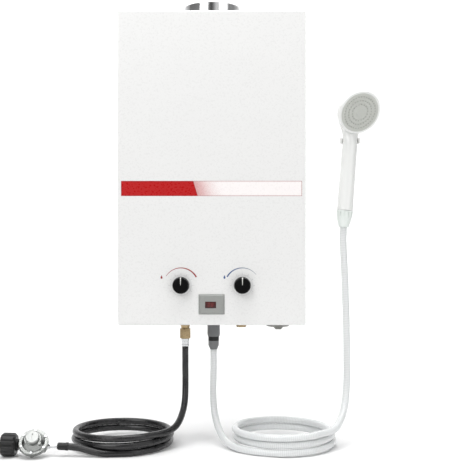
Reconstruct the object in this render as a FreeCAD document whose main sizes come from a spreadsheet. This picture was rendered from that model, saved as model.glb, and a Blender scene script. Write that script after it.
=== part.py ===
import FreeCAD, Part
import math
import os
import Sketcher
from FreeCAD import Placement, Rotation, Vector

# A wall-hung propane water heater with its gas hose and regulator, its shower hose and its handset.
# Millimetres. X runs to the right as seen from the front, Y away from the viewer, Z up.
# The origin lies on the wall, halfway between the two keyholes that the heater hangs from.

SIZES = [
    # Sheet-metal case
    ("case_width", 368, "side to side"),
    ("case_height", 616, "bottom to top"),
    ("case_depth", 130, "wall to front face"),
    ("case_crown", 60, "top of the case above the keyholes"),
    ("corner_round", 4, "radius of the case corners, seen from the front"),
    ("front_round", 3, "radius of the pressed front edges"),
    ("sheet", 1.2, "thickness of the sheet metal"),
    ("fit_gap", 0.3, "slack between the cover and the lips it slides over"),
    ("lip_depth", 14, "how far the back panel's lips reach into the cover"),
    ("keyhole_spacing", 240, "between the two keyholes"),
    ("keyhole_radius", 6, "round entry of a keyhole"),
    ("keyhole_slot", 6, "width of a keyhole's slot"),
    ("keyhole_rise", 12, "slot above the entry's centre"),
    ("lower_hole_drop", 510, "lower wall screws below the keyholes"),
    ("lower_hole_radius", 2.75, "lower wall screw holes"),
    ("louvre_count", 6, "air slots in each side"),
    ("louvre_pitch", 14, "from slot to slot"),
    ("louvre_height", 5, "of one slot"),
    ("louvre_length", 64, "of one slot, front to back"),
    ("louvre_drop", 360, "lowest slot below the keyholes"),
    ("cover_screw_reach", 150, "cover screws from the middle"),
    ("cover_screw_depth", 8, "cover screws from the wall"),
    ("screw_shank", 2, "radius of a cover screw"),
    ("screw_head", 4, "radius of a cover screw's head"),
    ("screw_head_height", 1.8, "of a cover screw's head"),
    # Flue
    ("works_depth", 65, "from the wall to the plane of flue and fittings"),
    ("flue_radius", 57, "outside of the flue collar"),
    ("flue_neck", 55.5, "outside of the collar where it passes the case top"),
    ("flue_wall", 0.8, "thickness of the flue collar"),
    ("flue_rise", 18, "collar above the case"),
    ("flue_flange", 6, "width of the collar's flange under the case top"),
    ("hood_height", 62, "exhaust hood, from the exchanger to its neck"),
    ("hood_neck", 14, "straight neck inside the collar"),
    ("hood_margin", 4, "hood's lid beyond its neck on each side"),
    # Works inside the case
    ("exchanger_width", 240, "copper jacket, side to side"),
    ("exchanger_depth", 88, "copper jacket, front to back"),
    ("exchanger_height", 130, "copper jacket"),
    ("jacket_wall", 1, "thickness of the copper"),
    ("fin_count", 18, "fins across the jacket"),
    ("fin_height", 46, "of a fin"),
    ("fin_thickness", 0.8, "of a fin"),
    ("tray_height", 100, "burner tray"),
    ("blade_count", 12, "burner blades"),
    ("blade_thickness", 9, "of a blade"),
    ("blade_pitch", 18, "from blade to blade"),
    ("blade_height", 70, "of a blade"),
    ("manifold_height", 16, "gas manifold bar"),
    ("manifold_depth", 90, "from the wall to the manifold's middle"),
    ("jet_radius", 3, "of a gas jet"),
    ("jet_height", 8, "of a gas jet"),
    ("riser_radius", 8, "gas riser between valve and manifold"),
    ("pipe_radius", 6, "copper water pipes"),
    ("pipe_bend", 18, "bend radius of the water pipes"),
    ("cold_pipe_reach", 158, "cold pipe's upright run from the middle"),
    ("cold_pipe_turn", 388, "cold pipe's cross run below the keyholes"),
    ("hot_pipe_reach", 148, "hot pipe's upright run from the middle"),
    ("hot_pipe_turn", 340, "hot pipe's cross run below the keyholes"),
    ("igniter_width", 70, "spark and control box"),
    ("igniter_height", 84, "spark and control box"),
    ("igniter_depth", 34, "spark and control box"),
    # Controls
    ("control_reach", 60, "knobs from the middle"),
    ("control_drop", 478, "knobs below the keyholes"),
    ("knob_radius", 16.5, "at the foot of a knob"),
    ("knob_height", 17, "of a knob"),
    ("knob_gap", 0.8, "between a knob and the front face"),
    ("knob_edge", 3, "rounding of a knob's face"),
    ("pointer_width", 2, "groove on a knob"),
    ("pointer_depth", 0.6, "groove on a knob"),
    ("spindle_radius", 3, "of a control spindle"),
    ("spindle_slack", 0.05, "between a spindle and its valve"),
    ("spindle_hole", 6, "radius of the holes in the front for the spindles"),
    ("valve_radius", 17, "of a valve's barrel"),
    ("valve_front", 104, "from the wall to the front of a valve"),
    ("valve_back", 44, "from the wall to the back of a valve"),
    ("valve_boss", 10, "radius of a valve's upper and lower boss"),
    ("valve_boss_reach", 27, "bosses beyond the spindle's axis"),
    ("side_boss", 9, "radius of a valve's cross boss"),
    ("side_boss_reach", 3, "cross boss beyond the valve's barrel"),
    # Display
    ("bezel_width", 51, "display frame"),
    ("bezel_height", 40, "display frame"),
    ("bezel_proud", 4.5, "display frame in front of the case"),
    ("bezel_slope", 38, "degrees that the frame's sides lean in"),
    ("bezel_skirt", 3, "display frame behind the front face"),
    ("display_drop", 515, "middle of the display below the keyholes"),
    ("window_width", 21.5, "display window"),
    ("window_height", 13, "display window"),
    ("window_shift", -2, "window from the frame's middle"),
    ("window_thickness", 2, "display window"),
    ("window_recess", 1, "window behind the frame's face"),
    ("board_thickness", 1.6, "display circuit board"),
    # Fittings under the case
    ("gas_inlet_x", -54.5, "gas inlet from the middle"),
    ("hot_outlet_x", 3, "hot outlet from the middle"),
    ("cold_inlet_x", 59, "cold inlet from the middle"),
    ("battery_x", 133, "battery tube from the middle"),
    ("drain_x", 90, "drain plug from the middle"),
    ("drain_depth", 40, "drain plug from the wall"),
    ("plate_sheet", 1.5, "thickness of the bottom plate"),
    ("fitting_flange", 14, "radius of the fittings' flanges"),
    ("fitting_flange_height", 3, "of the fittings' flanges"),
    ("gas_fitting_radius", 9.8, "gas inlet below the plate"),
    ("gas_fitting_drop", 13, "gas inlet below the case"),
    ("gas_thread", 7.2, "radius of the gas inlet's thread"),
    ("gas_thread_length", 10, "thread inside the nut"),
    ("gas_nut_radius", 12, "hexagon of the hose nut, across its corners"),
    ("gas_nut_height", 20, "hose nut"),
    ("gas_ferrule_radius", 8.5, "crimped ferrule under the nut"),
    ("gas_ferrule_height", 16, "crimped ferrule"),
    ("cold_thread", 10.48, "radius of the half-inch cold inlet"),
    ("cold_thread_drop", 10, "cold inlet below the case"),
    ("cold_bore", 7.2, "radius of the cold inlet's bore"),
    ("cold_bore_depth", 30, "cold inlet's bore"),
    ("core_radius", 9.5, "hose coupler's fixed core"),
    ("collar_radius", 12.85, "hose coupler's sliding collar"),
    ("collar_bore", 11.1, "hose coupler's sliding collar"),
    ("collar_top", 1.5, "collar's upper end below the case"),
    ("collar_length", 27.5, "sliding collar"),
    ("collar_slack", 0.08, "between the collar's inner lip and the core"),
    ("ring_radius", 10.85, "black ring of the coupler"),
    ("ring_height", 8.5, "black ring"),
    ("sleeve_height", 17.5, "grey sleeve under the ring"),
    ("sleeve_taper", 8, "tapered foot of the grey sleeve"),
    ("cell_radius", 16.6, "large round dry cell"),
    ("cell_length", 59.5, "large round dry cell without its nub"),
    ("cell_nub", 1.5, "contact nub of a cell"),
    ("tube_bore", 17.4, "battery tube"),
    ("tube_wall", 2, "battery tube"),
    ("tube_drop", 4, "battery tube below the case"),
    ("cap_radius", 23, "battery cap"),
    ("cap_thickness", 4, "battery cap's disc"),
    ("cap_gap", 0.3, "between the cap's disc and the tube"),
    ("cap_plug", 8, "cap's plug inside the tube"),
    ("cap_plug_slack", 0.3, "between the plug and the tube"),
    ("grip_height", 5, "cap's grip bar"),
    ("grip_width", 20, "cap's grip bar at its foot"),
    ("grip_length", 38, "cap's grip bar"),
    # Floor and hoses
    ("floor_drop", 794, "floor below the keyholes"),
    ("gas_hose", 13, "diameter of the gas hose"),
    ("gas_coil_x", -175, "middle of the gas hose's coil"),
    ("gas_coil_y", -110, "middle of the gas hose's coil"),
    ("gas_coil_radius", 93.5, "centre line of the gas hose's coil"),
    ("gas_coil_pitch", 13.5, "climb of one turn"),
    ("gas_coil_start", -52, "degrees, where the drop joins the coil"),
    ("gas_coil_end", -804, "degrees, where the tail leaves it"),
    ("shower_hose", 13.5, "diameter of the shower hose"),
    ("shower_coil_x", 142.4, "middle of the shower hose's coil"),
    ("shower_coil_y", -110, "middle of the shower hose's coil"),
    ("shower_coil_radius", 95, "centre line of the shower hose's coil"),
    ("shower_coil_pitch", 14, "climb of one turn"),
    ("shower_coil_start", -108, "degrees, where the drop joins the coil"),
    ("shower_coil_end", 672, "degrees, where the riser leaves it"),
    ("coil_sway", 1.2, "how much a coil's radius wanders"),
    # Regulator line, counted from the hose's end towards the tank
    ("line_x", -275, "end of the gas hose"),
    ("line_y", -198, "end of the gas hose"),
    ("line_rise", 2, "degrees that the line climbs towards the tank nut"),
    ("line_drop", 775.8, "end of the gas hose below the keyholes"),
    ("tail_ferrule_radius", 7, "ferrule at the regulator"),
    ("tail_ferrule_length", 13, "ferrule at the regulator beyond the hose's end"),
    ("tail_ferrule_grip", 8, "ferrule over the hose's end"),
    ("outlet_radius", 4, "regulator's outlet pipe"),
    ("outlet_length", 19, "regulator's outlet pipe"),
    ("regulator_radius", 27.5, "flange of the regulator"),
    ("regulator_flange", 5, "height of the regulator's flange"),
    ("regulator_cup", 20, "radius of the regulator's cup"),
    ("regulator_cup_depth", 15, "cup below the flange"),
    ("regulator_offset", 9, "line below the regulator's flange"),
    ("regulator_tip", 45, "degrees that the bonnet leans towards the viewer"),
    ("regulator_boss", 8, "radius of the regulator's bosses"),
    ("bonnet_radius", 21.5, "foot of the bonnet"),
    ("bonnet_height", 12, "bonnet"),
    ("bonnet_cap_radius", 13, "screw cap on the bonnet"),
    ("bonnet_cap_height", 7, "screw cap on the bonnet"),
    ("stem_radius", 5.5, "stem inside the tank nut"),
    ("stem_slack", 0.08, "between the stem and the tank nut"),
    ("stem_collar", 9, "radius of the collar that keeps the nut on"),
    ("nut_neck_length", 5, "neck of the tank nut"),
    ("nut_neck_radius", 11, "neck of the tank nut"),
    ("tank_nut_radius", 21.5, "tank nut"),
    ("tank_nut_length", 28, "fluted part of the tank nut"),
    ("tank_nut_bore", 16, "mouth of the tank nut"),
    ("tank_nut_mouth", 21, "depth of the mouth"),
    ("flute_count", 12, "flutes of the tank nut"),
    ("flute_radius", 3.4, "of a flute"),
    # Handset
    ("handset_x", 268, "foot of the handle"),
    ("handset_y", -75, "foot of the handle"),
    ("handset_drop", 330, "foot of the handle below the keyholes"),
    ("handle_lean", 4.3, "degrees that the handle leans to the right"),
    ("handle_yaw", 22, "degrees that the handset is turned to the right"),
    ("handle_foot", 15.9, "radius at the foot of the handle"),
    ("handle_head", 14.8, "radius at the head end of the handle"),
    ("handle_length", 136, "plain part of the handle"),
    ("head_rise", 195, "middle of the head along the handle"),
    ("head_forward", 30, "middle of the head in front of the handle's axis"),
    ("head_tilt", 26, "degrees that the face tips down"),
    ("head_radius", 44.5, "of the head"),
    ("head_rim", 11, "height of the head's side"),
    ("head_dome", 10, "height of the head's rounded back"),
    ("rim_width", 4.5, "bright ring round the face"),
    ("rim_proud", 1.2, "ring in front of the head"),
    ("swivel_foot", 11, "radius at the lower end of the hose nut"),
    ("swivel_head", 16.2, "radius at the upper end of the hose nut"),
    ("swivel_height", 34, "hose nut"),
    ("swivel_gap", 0.3, "joint between hose nut and handle"),
    ("swivel_groove", 1.1, "radius of the grip grooves"),
    ("swivel_groove_count", 12, "grip grooves"),
    ("spigot_radius", 9, "handle's spigot inside the hose nut"),
    ("spigot_slack", 0.08, "between spigot and hose nut"),
    ("spigot_length", 14, "handle's spigot"),
    # Wall hook
    ("hook_wall", 4.5, "thickness of the hook's arms"),
    ("hook_height", 11, "of the hook's arms"),
    ("hook_slack", 0.5, "between the hook and the handle"),
    ("hook_rise", 141, "middle of the hook along the handle"),
    ("hook_plate_width", 24, "of the wall plate"),
    ("hook_plate_height", 82, "of the wall plate"),
    ("hook_plate_shift", 9.5, "wall plate to the right of the handle"),
    ("hook_plate_drop", 17, "middle of the wall plate below the arms"),
    ("hook_plate_sheet", 5, "of the wall plate"),
    ("hook_screw_spacing", 60, "between the hook's wall screws"),
    ("hook_screw_radius", 2.25, "holes for the hook's wall screws"),
]

doc = FreeCAD.newDocument("Heater")
sheet = doc.addObject("Spreadsheet::Sheet", "Sizes")


class Size:
    """A value that is known both as a number and as a formula of the sheet's cells."""

    def __init__(self, value, formula):
        self.value = value
        self.formula = formula

    def __add__(self, other):
        other = sized(other)
        return Size(self.value + other.value, "(%s + %s)" % (self.formula, other.formula))

    def __sub__(self, other):
        other = sized(other)
        return Size(self.value - other.value, "(%s - %s)" % (self.formula, other.formula))

    def __mul__(self, other):
        other = sized(other)
        return Size(self.value * other.value, "(%s * %s)" % (self.formula, other.formula))

    def __truediv__(self, other):
        other = sized(other)
        return Size(self.value / other.value, "(%s / %s)" % (self.formula, other.formula))

    def __radd__(self, other):
        return sized(other) + self

    def __rsub__(self, other):
        return sized(other) - self

    def __rmul__(self, other):
        return sized(other) * self

    def __neg__(self):
        return sized(0) - self

    def __float__(self):
        return float(self.value)


def sized(value):
    return value if isinstance(value, Size) else Size(value, "(%r)" % float(value))


def number(value):
    return float(value)


class Cells:
    """The sheet's cells by their names."""


size = Cells()
for row, (name, value, note) in enumerate(SIZES, 1):
    sheet.set("A%d" % row, name)
    sheet.set("B%d" % row, str(value))
    sheet.set("C%d" % row, note)
    sheet.setAlias("B%d" % row, name)
doc.recompute()
for name, value, note in SIZES:
    setattr(size, name, Size(sheet.get(name), "Sizes." + name))

# Which way a piece's own Z axis points
UP = Rotation()
FRONT = Rotation(Vector(1, 0, 0), 90)
RIGHT = Rotation(Vector(0, 1, 0), 90)
LEFT = Rotation(Vector(0, 1, 0), -90)

case_top = size.case_crown
case_bottom = size.case_crown - size.case_height
half_width = size.case_width / 2
cover_bottom_inside = case_bottom + size.sheet
plate_bottom = cover_bottom_inside + size.fit_gap + size.sheet
plate_top = plate_bottom + size.plate_sheet
controls_z = -size.control_drop
floor_z = -size.floor_drop


def bind(thing, name, value):
    """Ties a property to the sheet, or sets a plain one; parts of a property already hold theirs."""
    if isinstance(value, Size):
        thing.setExpression(name, value.formula)
    elif name.isalpha():
        setattr(thing, name, value)


def place(thing, at, turn):
    """Puts a piece where its sizes say; at is a point, turn a rotation."""
    thing.Placement = Placement(Vector(*[number(c) for c in at]), turn)
    for axis, value in zip("xyz", at):
        bind(thing, "Placement.Base." + axis, value)


pieces = []


def new_body(label, at=(0, 0, 0), turn=UP, separate=False):
    body = doc.addObject("PartDesign::Body", label)
    body.Label = label
    body.AllowCompound = separate
    place(body, at, turn)
    pieces.append(body)
    return body


def origin_part(body, role):
    return [part for part in body.Origin.OriginFeatures if part.Role == role][0]


def sketch_on(body, role, lift=0, swing=0, shift=(0, 0)):
    """A sketch on one of the body's own planes, lifted off it, and turned and shifted in it."""
    sketch = body.newObject("Sketcher::SketchObject", body.Name + "_sketch")
    sketch.AttachmentSupport = (origin_part(body, role), [""])
    sketch.MapMode = "FlatFace"
    sketch.AttachmentOffset = Placement(
        Vector(number(shift[0]), number(shift[1]), number(lift)),
        Rotation(Vector(0, 0, 1), number(swing)),
    )
    bind(sketch, "AttachmentOffset.Base.x", shift[0])
    bind(sketch, "AttachmentOffset.Base.y", shift[1])
    bind(sketch, "AttachmentOffset.Base.z", lift)
    if isinstance(swing, Size):
        bind(sketch, "AttachmentOffset.Rotation.Angle", swing)
    return sketch


def hold(sketch, kind, element, point, value):
    """Ties one coordinate of a point to its size, or to the axis where it is nought."""
    if not isinstance(value, Size) and value == 0:
        axis = -2 if kind == "DistanceX" else -1
        sketch.addConstraint(Sketcher.Constraint("PointOnObject", element, point, axis))
        return
    rule = sketch.addConstraint(Sketcher.Constraint(kind, -1, 1, element, point, number(value)))
    bind(sketch, "Constraints[%d]" % rule, value)


def pin(sketch, element, point, corner):
    hold(sketch, "DistanceX", element, point, corner[0])
    hold(sketch, "DistanceY", element, point, corner[1])


def rounding(before, corner, after):
    """Start, end and centre of the tangent arc that rounds a corner."""
    here = Vector(number(corner[0]), number(corner[1]), 0)
    back = (Vector(number(before[0]), number(before[1]), 0) - here).normalize()
    on = (Vector(number(after[0]), number(after[1]), 0) - here).normalize()
    half = back.getAngle(on) / 2
    radius = number(corner[2])
    reach = radius / math.tan(half)
    centre = here + (back + on).normalize() * (radius / math.sin(half))
    return here + back * reach, here + on * reach, centre


def bevel(x, y, reach):
    """A corner that is cut off flat."""
    return (x, y, None, reach)


def without_bevels(corners):
    """The outline with each cut-off corner as the two points where its edges end."""
    points = []
    for i, corner in enumerate(corners):
        if len(corner) < 4:
            points.append(corner)
            continue
        x, y, _, reach = corner
        for other in (corners[i - 1], corners[(i + 1) % len(corners)]):
            across = number(other[0]) - number(x)
            along = number(other[1]) - number(y)
            if abs(across) > abs(along):
                points.append((x + reach * math.copysign(1, across), y))
            else:
                points.append((x, y + reach * math.copysign(1, along)))
    return points


def draw(sketch, corners, closed=True):
    """An outline through the corners (x, y), or (x, y, radius) where a tangent arc rounds one."""
    corners = without_bevels(corners)
    count = len(corners)
    arcs = {}
    for i, corner in enumerate(corners):
        if len(corner) == 3:
            arcs[i] = rounding(corners[i - 1], corner, corners[(i + 1) % count])
    lines = []
    for i in range(count if closed else count - 1):
        j = (i + 1) % count
        start = arcs[i][1] if i in arcs else Vector(number(corners[i][0]), number(corners[i][1]), 0)
        end = arcs[j][0] if j in arcs else Vector(number(corners[j][0]), number(corners[j][1]), 0)
        lines.append(sketch.addGeometry(Part.LineSegment(start, end), False))
    if not closed:
        pin(sketch, lines[0], 1, corners[0])
        pin(sketch, lines[-1], 2, corners[-1])
    for i in range(0 if closed else 1, count if closed else count - 1):
        before = lines[i - 1]
        after = lines[i]
        if i not in arcs:
            sketch.addConstraint(Sketcher.Constraint("Coincident", before, 2, after, 1))
            pin(sketch, after, 1, corners[i])
            continue
        start, end, centre = arcs[i]
        leftward = (start - centre).cross(end - centre).z > 0
        first, last = (start, end) if leftward else (end, start)
        angles = [math.atan2(p.y - centre.y, p.x - centre.x) for p in (first, last)]
        if angles[1] < angles[0]:
            angles[1] += 2 * math.pi
        circle = Part.Circle(centre, Vector(0, 0, 1), number(corners[i][2]))
        arc = sketch.addGeometry(Part.ArcOfCircle(circle, *angles), False)
        mark = sketch.addGeometry(Part.Point(Vector(*[number(c) for c in corners[i][:2]], 0)), True)
        pin(sketch, mark, 1, corners[i])
        sketch.addConstraint(Sketcher.Constraint("PointOnObject", mark, 1, before))
        sketch.addConstraint(Sketcher.Constraint("PointOnObject", mark, 1, after))
        sketch.addConstraint(Sketcher.Constraint("Tangent", before, 2, arc, 1 if leftward else 2))
        sketch.addConstraint(Sketcher.Constraint("Tangent", after, 1, arc, 2 if leftward else 1))
        rule = sketch.addConstraint(Sketcher.Constraint("Radius", arc, number(corners[i][2])))
        bind(sketch, "Constraints[%d]" % rule, corners[i][2])
    return sketch


def ring(sketch, x, y, radius):
    """A circle."""
    circle = Part.Circle(Vector(number(x), number(y), 0), Vector(0, 0, 1), number(radius))
    element = sketch.addGeometry(circle, False)
    pin(sketch, element, 3, (x, y))
    rule = sketch.addConstraint(Sketcher.Constraint("Radius", element, number(radius)))
    bind(sketch, "Constraints[%d]" % rule, radius)
    return sketch


def oval(sketch, across, along, x=0, y=0):
    """An ellipse with its half axes along the sketch's own."""
    centre = Vector(number(x), number(y), 0)
    wide = Vector(number(across), 0, 0)
    tall = Vector(0, number(along), 0)
    long_way = number(across) >= number(along)
    ends = (centre + wide, centre + tall) if long_way else (centre + tall, centre - wide)
    element = sketch.addGeometry(Part.Ellipse(ends[0], ends[1], centre), False)
    sketch.exposeInternalGeometry(element)
    major = element + 1
    minor = element + 2
    pin(sketch, element, 3, (x, y))
    level, upright = (major, minor) if long_way else (minor, major)
    sketch.addConstraint(Sketcher.Constraint("Horizontal", level))
    for axis, length in ((level, across), (upright, along)):
        rule = sketch.addConstraint(Sketcher.Constraint("Distance", axis, number(length) * 2))
        bind(sketch, "Constraints[%d]" % rule, length * 2)
    return sketch


def box_corners(left, right, low, high, radius=None):
    corners = [(left, low), (right, low), (right, high), (left, high)]
    return [corner if radius is None else corner + (radius,) for corner in corners]


def polygon(radius, sides, turn=0):
    steps = [math.radians(360 * i / sides + turn) for i in range(sides)]
    return [(radius * math.cos(step), radius * math.sin(step)) for step in steps]


def pad(body, sketch, length, both_ways=False, reverse=False, lean=0):
    feature = body.newObject("PartDesign::Pad", body.Name + "_pad")
    feature.Profile = sketch
    feature.SideType = "Symmetric" if both_ways else "One side"
    feature.Reversed = reverse
    bind(feature, "Length", length)
    bind(feature, "TaperAngle", lean)
    return feature


def cut(body, sketch, length=None, reverse=False):
    """A pocket, or a hole right through both ways; it has to take material away."""
    doc.recompute()
    before = body.Shape.Volume
    feature = body.newObject("PartDesign::Pocket", body.Name + "_cut")
    feature.Profile = sketch
    feature.Reversed = reverse
    if length is None:
        feature.SideType = "Symmetric"
        feature.Type = "ThroughAll"
    else:
        bind(feature, "Length", length)
    doc.recompute()
    check_smaller(body, before)
    return feature


def check_smaller(body, before):
    if not body.Shape.Volume < before - 1e-6:
        raise RuntimeError("a cut in %s takes nothing away" % body.Label)


def turned(body, corners):
    """A solid of revolution about the body's own Z axis."""
    sketch = draw(sketch_on(body, "XZ_Plane"), corners)
    feature = body.newObject("PartDesign::Revolution", body.Name + "_turned")
    feature.Profile = sketch
    feature.ReferenceAxis = (sketch, ["V_Axis"])
    feature.Angle = 360
    return feature


def groove(body, corners):
    """A turned cut about the body's own Z axis."""
    doc.recompute()
    before = body.Shape.Volume
    sketch = draw(sketch_on(body, "XZ_Plane"), corners)
    feature = body.newObject("PartDesign::Groove", body.Name + "_groove")
    feature.Profile = sketch
    feature.ReferenceAxis = (sketch, ["V_Axis"])
    feature.Angle = 360
    doc.recompute()
    check_smaller(body, before)
    return feature


def in_line(body, features, role, length, count):
    """Copies of the features along an axis, the last one length away."""
    doc.recompute()
    pattern = body.newObject("PartDesign::LinearPattern", body.Name + "_row")
    pattern.Originals = features
    pattern.Direction = (origin_part(body, role), [""])
    bind(pattern, "Length", length)
    bind(pattern, "Occurrences", count)
    body.Tip = pattern
    return pattern


def in_circle(body, features, count):
    """Copies of the features round the body's own Z axis."""
    doc.recompute()
    pattern = body.newObject("PartDesign::PolarPattern", body.Name + "_circle")
    pattern.Originals = features
    pattern.Axis = (origin_part(body, "Z_Axis"), [""])
    pattern.Angle = 360
    bind(pattern, "Occurrences", count)
    body.Tip = pattern
    return pattern


def edges_where(feature, test):
    doc.recompute()
    return ["Edge%d" % (i + 1) for i, edge in enumerate(feature.Shape.Edges) if test(edge)]


def round_edges(body, feature, radius, test):
    feature_edges = edges_where(feature, test)
    fillet = body.newObject("PartDesign::Fillet", body.Name + "_fillet")
    fillet.Base = (feature, feature_edges)
    bind(fillet, "Radius", radius)
    return fillet


def loft(body, sketches, cut_away=False, ruled=False):
    kind = "PartDesign::SubtractiveLoft" if cut_away else "PartDesign::AdditiveLoft"
    feature = body.newObject(kind, body.Name + "_loft")
    feature.Profile = sketches[0]
    feature.Sections = sketches[1:]
    feature.Ruled = ruled
    return feature


def pipe(body, profile, path):
    feature = body.newObject("PartDesign::AdditivePipe", body.Name + "_pipe")
    feature.Profile = profile
    feature.Spine = (path, [])
    return feature


# The case


def back_panel():
    """Steel sheet with a lip all round, two keyholes and two lower screw holes."""
    body = new_body("back_panel", turn=FRONT)
    outline = box_corners(-half_width, half_width, case_bottom, case_top, size.corner_round)
    pad(body, draw(sketch_on(body, "XY_Plane"), outline), size.sheet)
    inset = size.sheet + size.fit_gap
    lip = sketch_on(body, "XY_Plane", lift=size.sheet)
    for step in (inset, inset + size.sheet):
        corner = size.corner_round - step + 0.2
        draw(lip, box_corners(-half_width + step, half_width - step, case_bottom + step, case_top - step, corner))
    pad(body, lip, size.lip_depth - size.sheet)
    reach = size.flue_neck + size.flue_flange + 2
    notch = sketch_on(body, "XY_Plane", lift=size.sheet)
    cut(body, draw(notch, box_corners(-reach, reach, case_top - 4, case_top + 1)), size.lip_depth, reverse=True)
    for side in (-1, 1):
        x = size.keyhole_spacing * (side / 2)
        cut(body, ring(sketch_on(body, "XY_Plane"), x, 0, size.keyhole_radius))
        half = size.keyhole_slot / 2
        slot = [(x - half, 0), (x + half, 0), (x + half, size.keyhole_rise, half * 0.9)]
        slot.append((x - half, size.keyhole_rise, half * 0.9))
        cut(body, draw(sketch_on(body, "XY_Plane"), slot))
        cut(body, ring(sketch_on(body, "XY_Plane"), x, -size.lower_hole_drop, size.lower_hole_radius))
    screw_holes(body)


def screw_holes(body):
    """The cover screws' holes through the top and bottom walls."""
    holes = sketch_on(body, "XZ_Plane")
    for side in (-1, 1):
        ring(holes, size.cover_screw_reach * side, size.cover_screw_depth, size.screw_shank)
    cut(body, holes)


def front_cover():
    """A pressed five-sided cover: rounded front edges, open back, and holes for what passes through."""
    body = new_body("front_cover", turn=FRONT)
    outline = box_corners(-half_width, half_width, case_bottom, case_top, size.corner_round)
    block = pad(body, draw(sketch_on(body, "XY_Plane", lift=size.sheet), outline), size.case_depth - size.sheet)
    front = number(size.case_depth) - 0.1
    rounded = round_edges(body, block, size.front_round, lambda e: all(v.Point.z > front for v in e.Vertexes))
    doc.recompute()
    back = min(range(len(rounded.Shape.Faces)), key=lambda i: rounded.Shape.Faces[i].CenterOfMass.z)
    shell = body.newObject("PartDesign::Thickness", "front_cover_shell")
    shell.Base = (rounded, ["Face%d" % (back + 1)])
    shell.Reversed = True
    bind(shell, "Value", size.sheet)
    body.Tip = shell
    deep = size.sheet + size.front_round
    holes = sketch_on(body, "XY_Plane", lift=size.case_depth)
    for side in (-1, 1):
        ring(holes, size.control_reach * side, controls_z, size.spindle_hole)
    draw(holes, display_outline(-2))
    cut(body, holes, deep)
    flue = ring(sketch_on(body, "XZ_Plane", lift=-case_top), 0, size.works_depth, size.flue_neck + 0.2)
    cut(body, flue, deep, reverse=True)
    window = box_corners(-half_width + 12, half_width - 12, size.lip_depth + 8, size.case_depth - 12, 6)
    cut(body, draw(sketch_on(body, "XZ_Plane", lift=-case_bottom), window), deep)
    low = -size.louvre_drop
    middle = size.works_depth
    half = size.louvre_length / 2
    rounding_radius = size.louvre_height * 0.45
    slot = box_corners(low, low + size.louvre_height, middle - half, middle + half, rounding_radius)
    louvre = cut(body, draw(sketch_on(body, "YZ_Plane"), slot))
    in_line(body, [louvre], "Y_Axis", size.louvre_pitch * (size.louvre_count - 1), size.louvre_count)
    screw_holes(body)


def cover_screws():
    """Four pan-head screws, two through the top wall and two through the bottom one."""
    middle = (case_top + case_bottom) / 2
    body = new_body("cover_screws", (0, -size.cover_screw_depth, middle), separate=True)
    wall = size.case_height / 2
    reach = size.sheet * 2 + size.fit_gap + 2
    features = []
    for side in (-1, 1):
        sketch = sketch_on(body, "XZ_Plane")
        x = -size.cover_screw_reach
        inside = (wall - reach) * side
        outside = (wall + size.screw_head_height) * side
        draw(sketch, [
            (x, inside), (x + size.screw_shank, inside), (x + size.screw_shank, wall * side),
            (x + size.screw_head, wall * side), bevel(x + size.screw_head, outside, 0.8), (x, outside),
        ])
        axis = sketch.addGeometry(Part.LineSegment(Vector(number(x), -1, 0), Vector(number(x), 1, 0)), True)
        sketch.addConstraint(Sketcher.Constraint("Vertical", axis))
        hold(sketch, "DistanceX", axis, 1, x)
        hold(sketch, "DistanceY", axis, 1, -1.0)
        hold(sketch, "DistanceY", axis, 2, 1.0)
        feature = body.newObject("PartDesign::Revolution", "cover_screws_turned")
        feature.Profile = sketch
        feature.ReferenceAxis = (sketch, ["Axis0"])
        feature.Angle = 360
        features.append(feature)
    in_line(body, features, "X_Axis", size.cover_screw_reach * 2, 2)


def bottom_plate():
    """An angled plate on the back panel that carries the fittings."""
    body = new_body("bottom_plate", (0, 0, plate_bottom))
    front = -(size.case_depth - 16)
    back = -size.sheet
    rise = 40
    section = [
        (back, 0), (back, rise), (back - size.plate_sheet, rise),
        (back - size.plate_sheet, size.plate_sheet), (front, size.plate_sheet), (front, 0),
    ]
    width = size.case_width - 18
    pad(body, draw(sketch_on(body, "YZ_Plane"), section), width, both_ways=True)
    holes = sketch_on(body, "XY_Plane", lift=size.plate_sheet)
    ring(holes, size.gas_inlet_x, -size.works_depth, size.gas_thread + 0.2)
    ring(holes, size.hot_outlet_x, -size.works_depth, size.core_radius + 0.2)
    ring(holes, size.cold_inlet_x, -size.works_depth, size.cold_thread - 0.7)
    ring(holes, size.battery_x, -size.works_depth, size.tube_bore + size.tube_wall + 0.2)
    ring(holes, size.drain_x, -size.drain_depth, 5.2)
    for side in (-1, 1):
        ring(holes, size.cover_screw_reach * side, -size.cover_screw_depth, size.screw_shank + 0.1)
    cut(body, holes, size.plate_sheet)


def flue_collar():
    """A thin bright collar with a hemmed top and a flange under the case top."""
    body = new_body("flue_collar", (0, -size.works_depth, case_top))
    outer = size.flue_radius
    inner = outer - size.flue_wall
    hem = inner - size.flue_wall
    under = -size.sheet
    neck = size.flue_neck
    flange = neck + size.flue_flange
    low = under - 12
    turned(body, [
        (neck - size.flue_wall, low), (neck, low), (neck, under - size.sheet), (flange, under - size.sheet),
        (flange, under), (neck, under), (neck, 0), (outer, 0), (outer, size.flue_rise), (hem, size.flue_rise),
        (hem, size.flue_rise - 4), (inner, size.flue_rise - 4), (inner, size.flue_wall),
        (neck - size.flue_wall, size.flue_wall),
    ])


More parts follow.
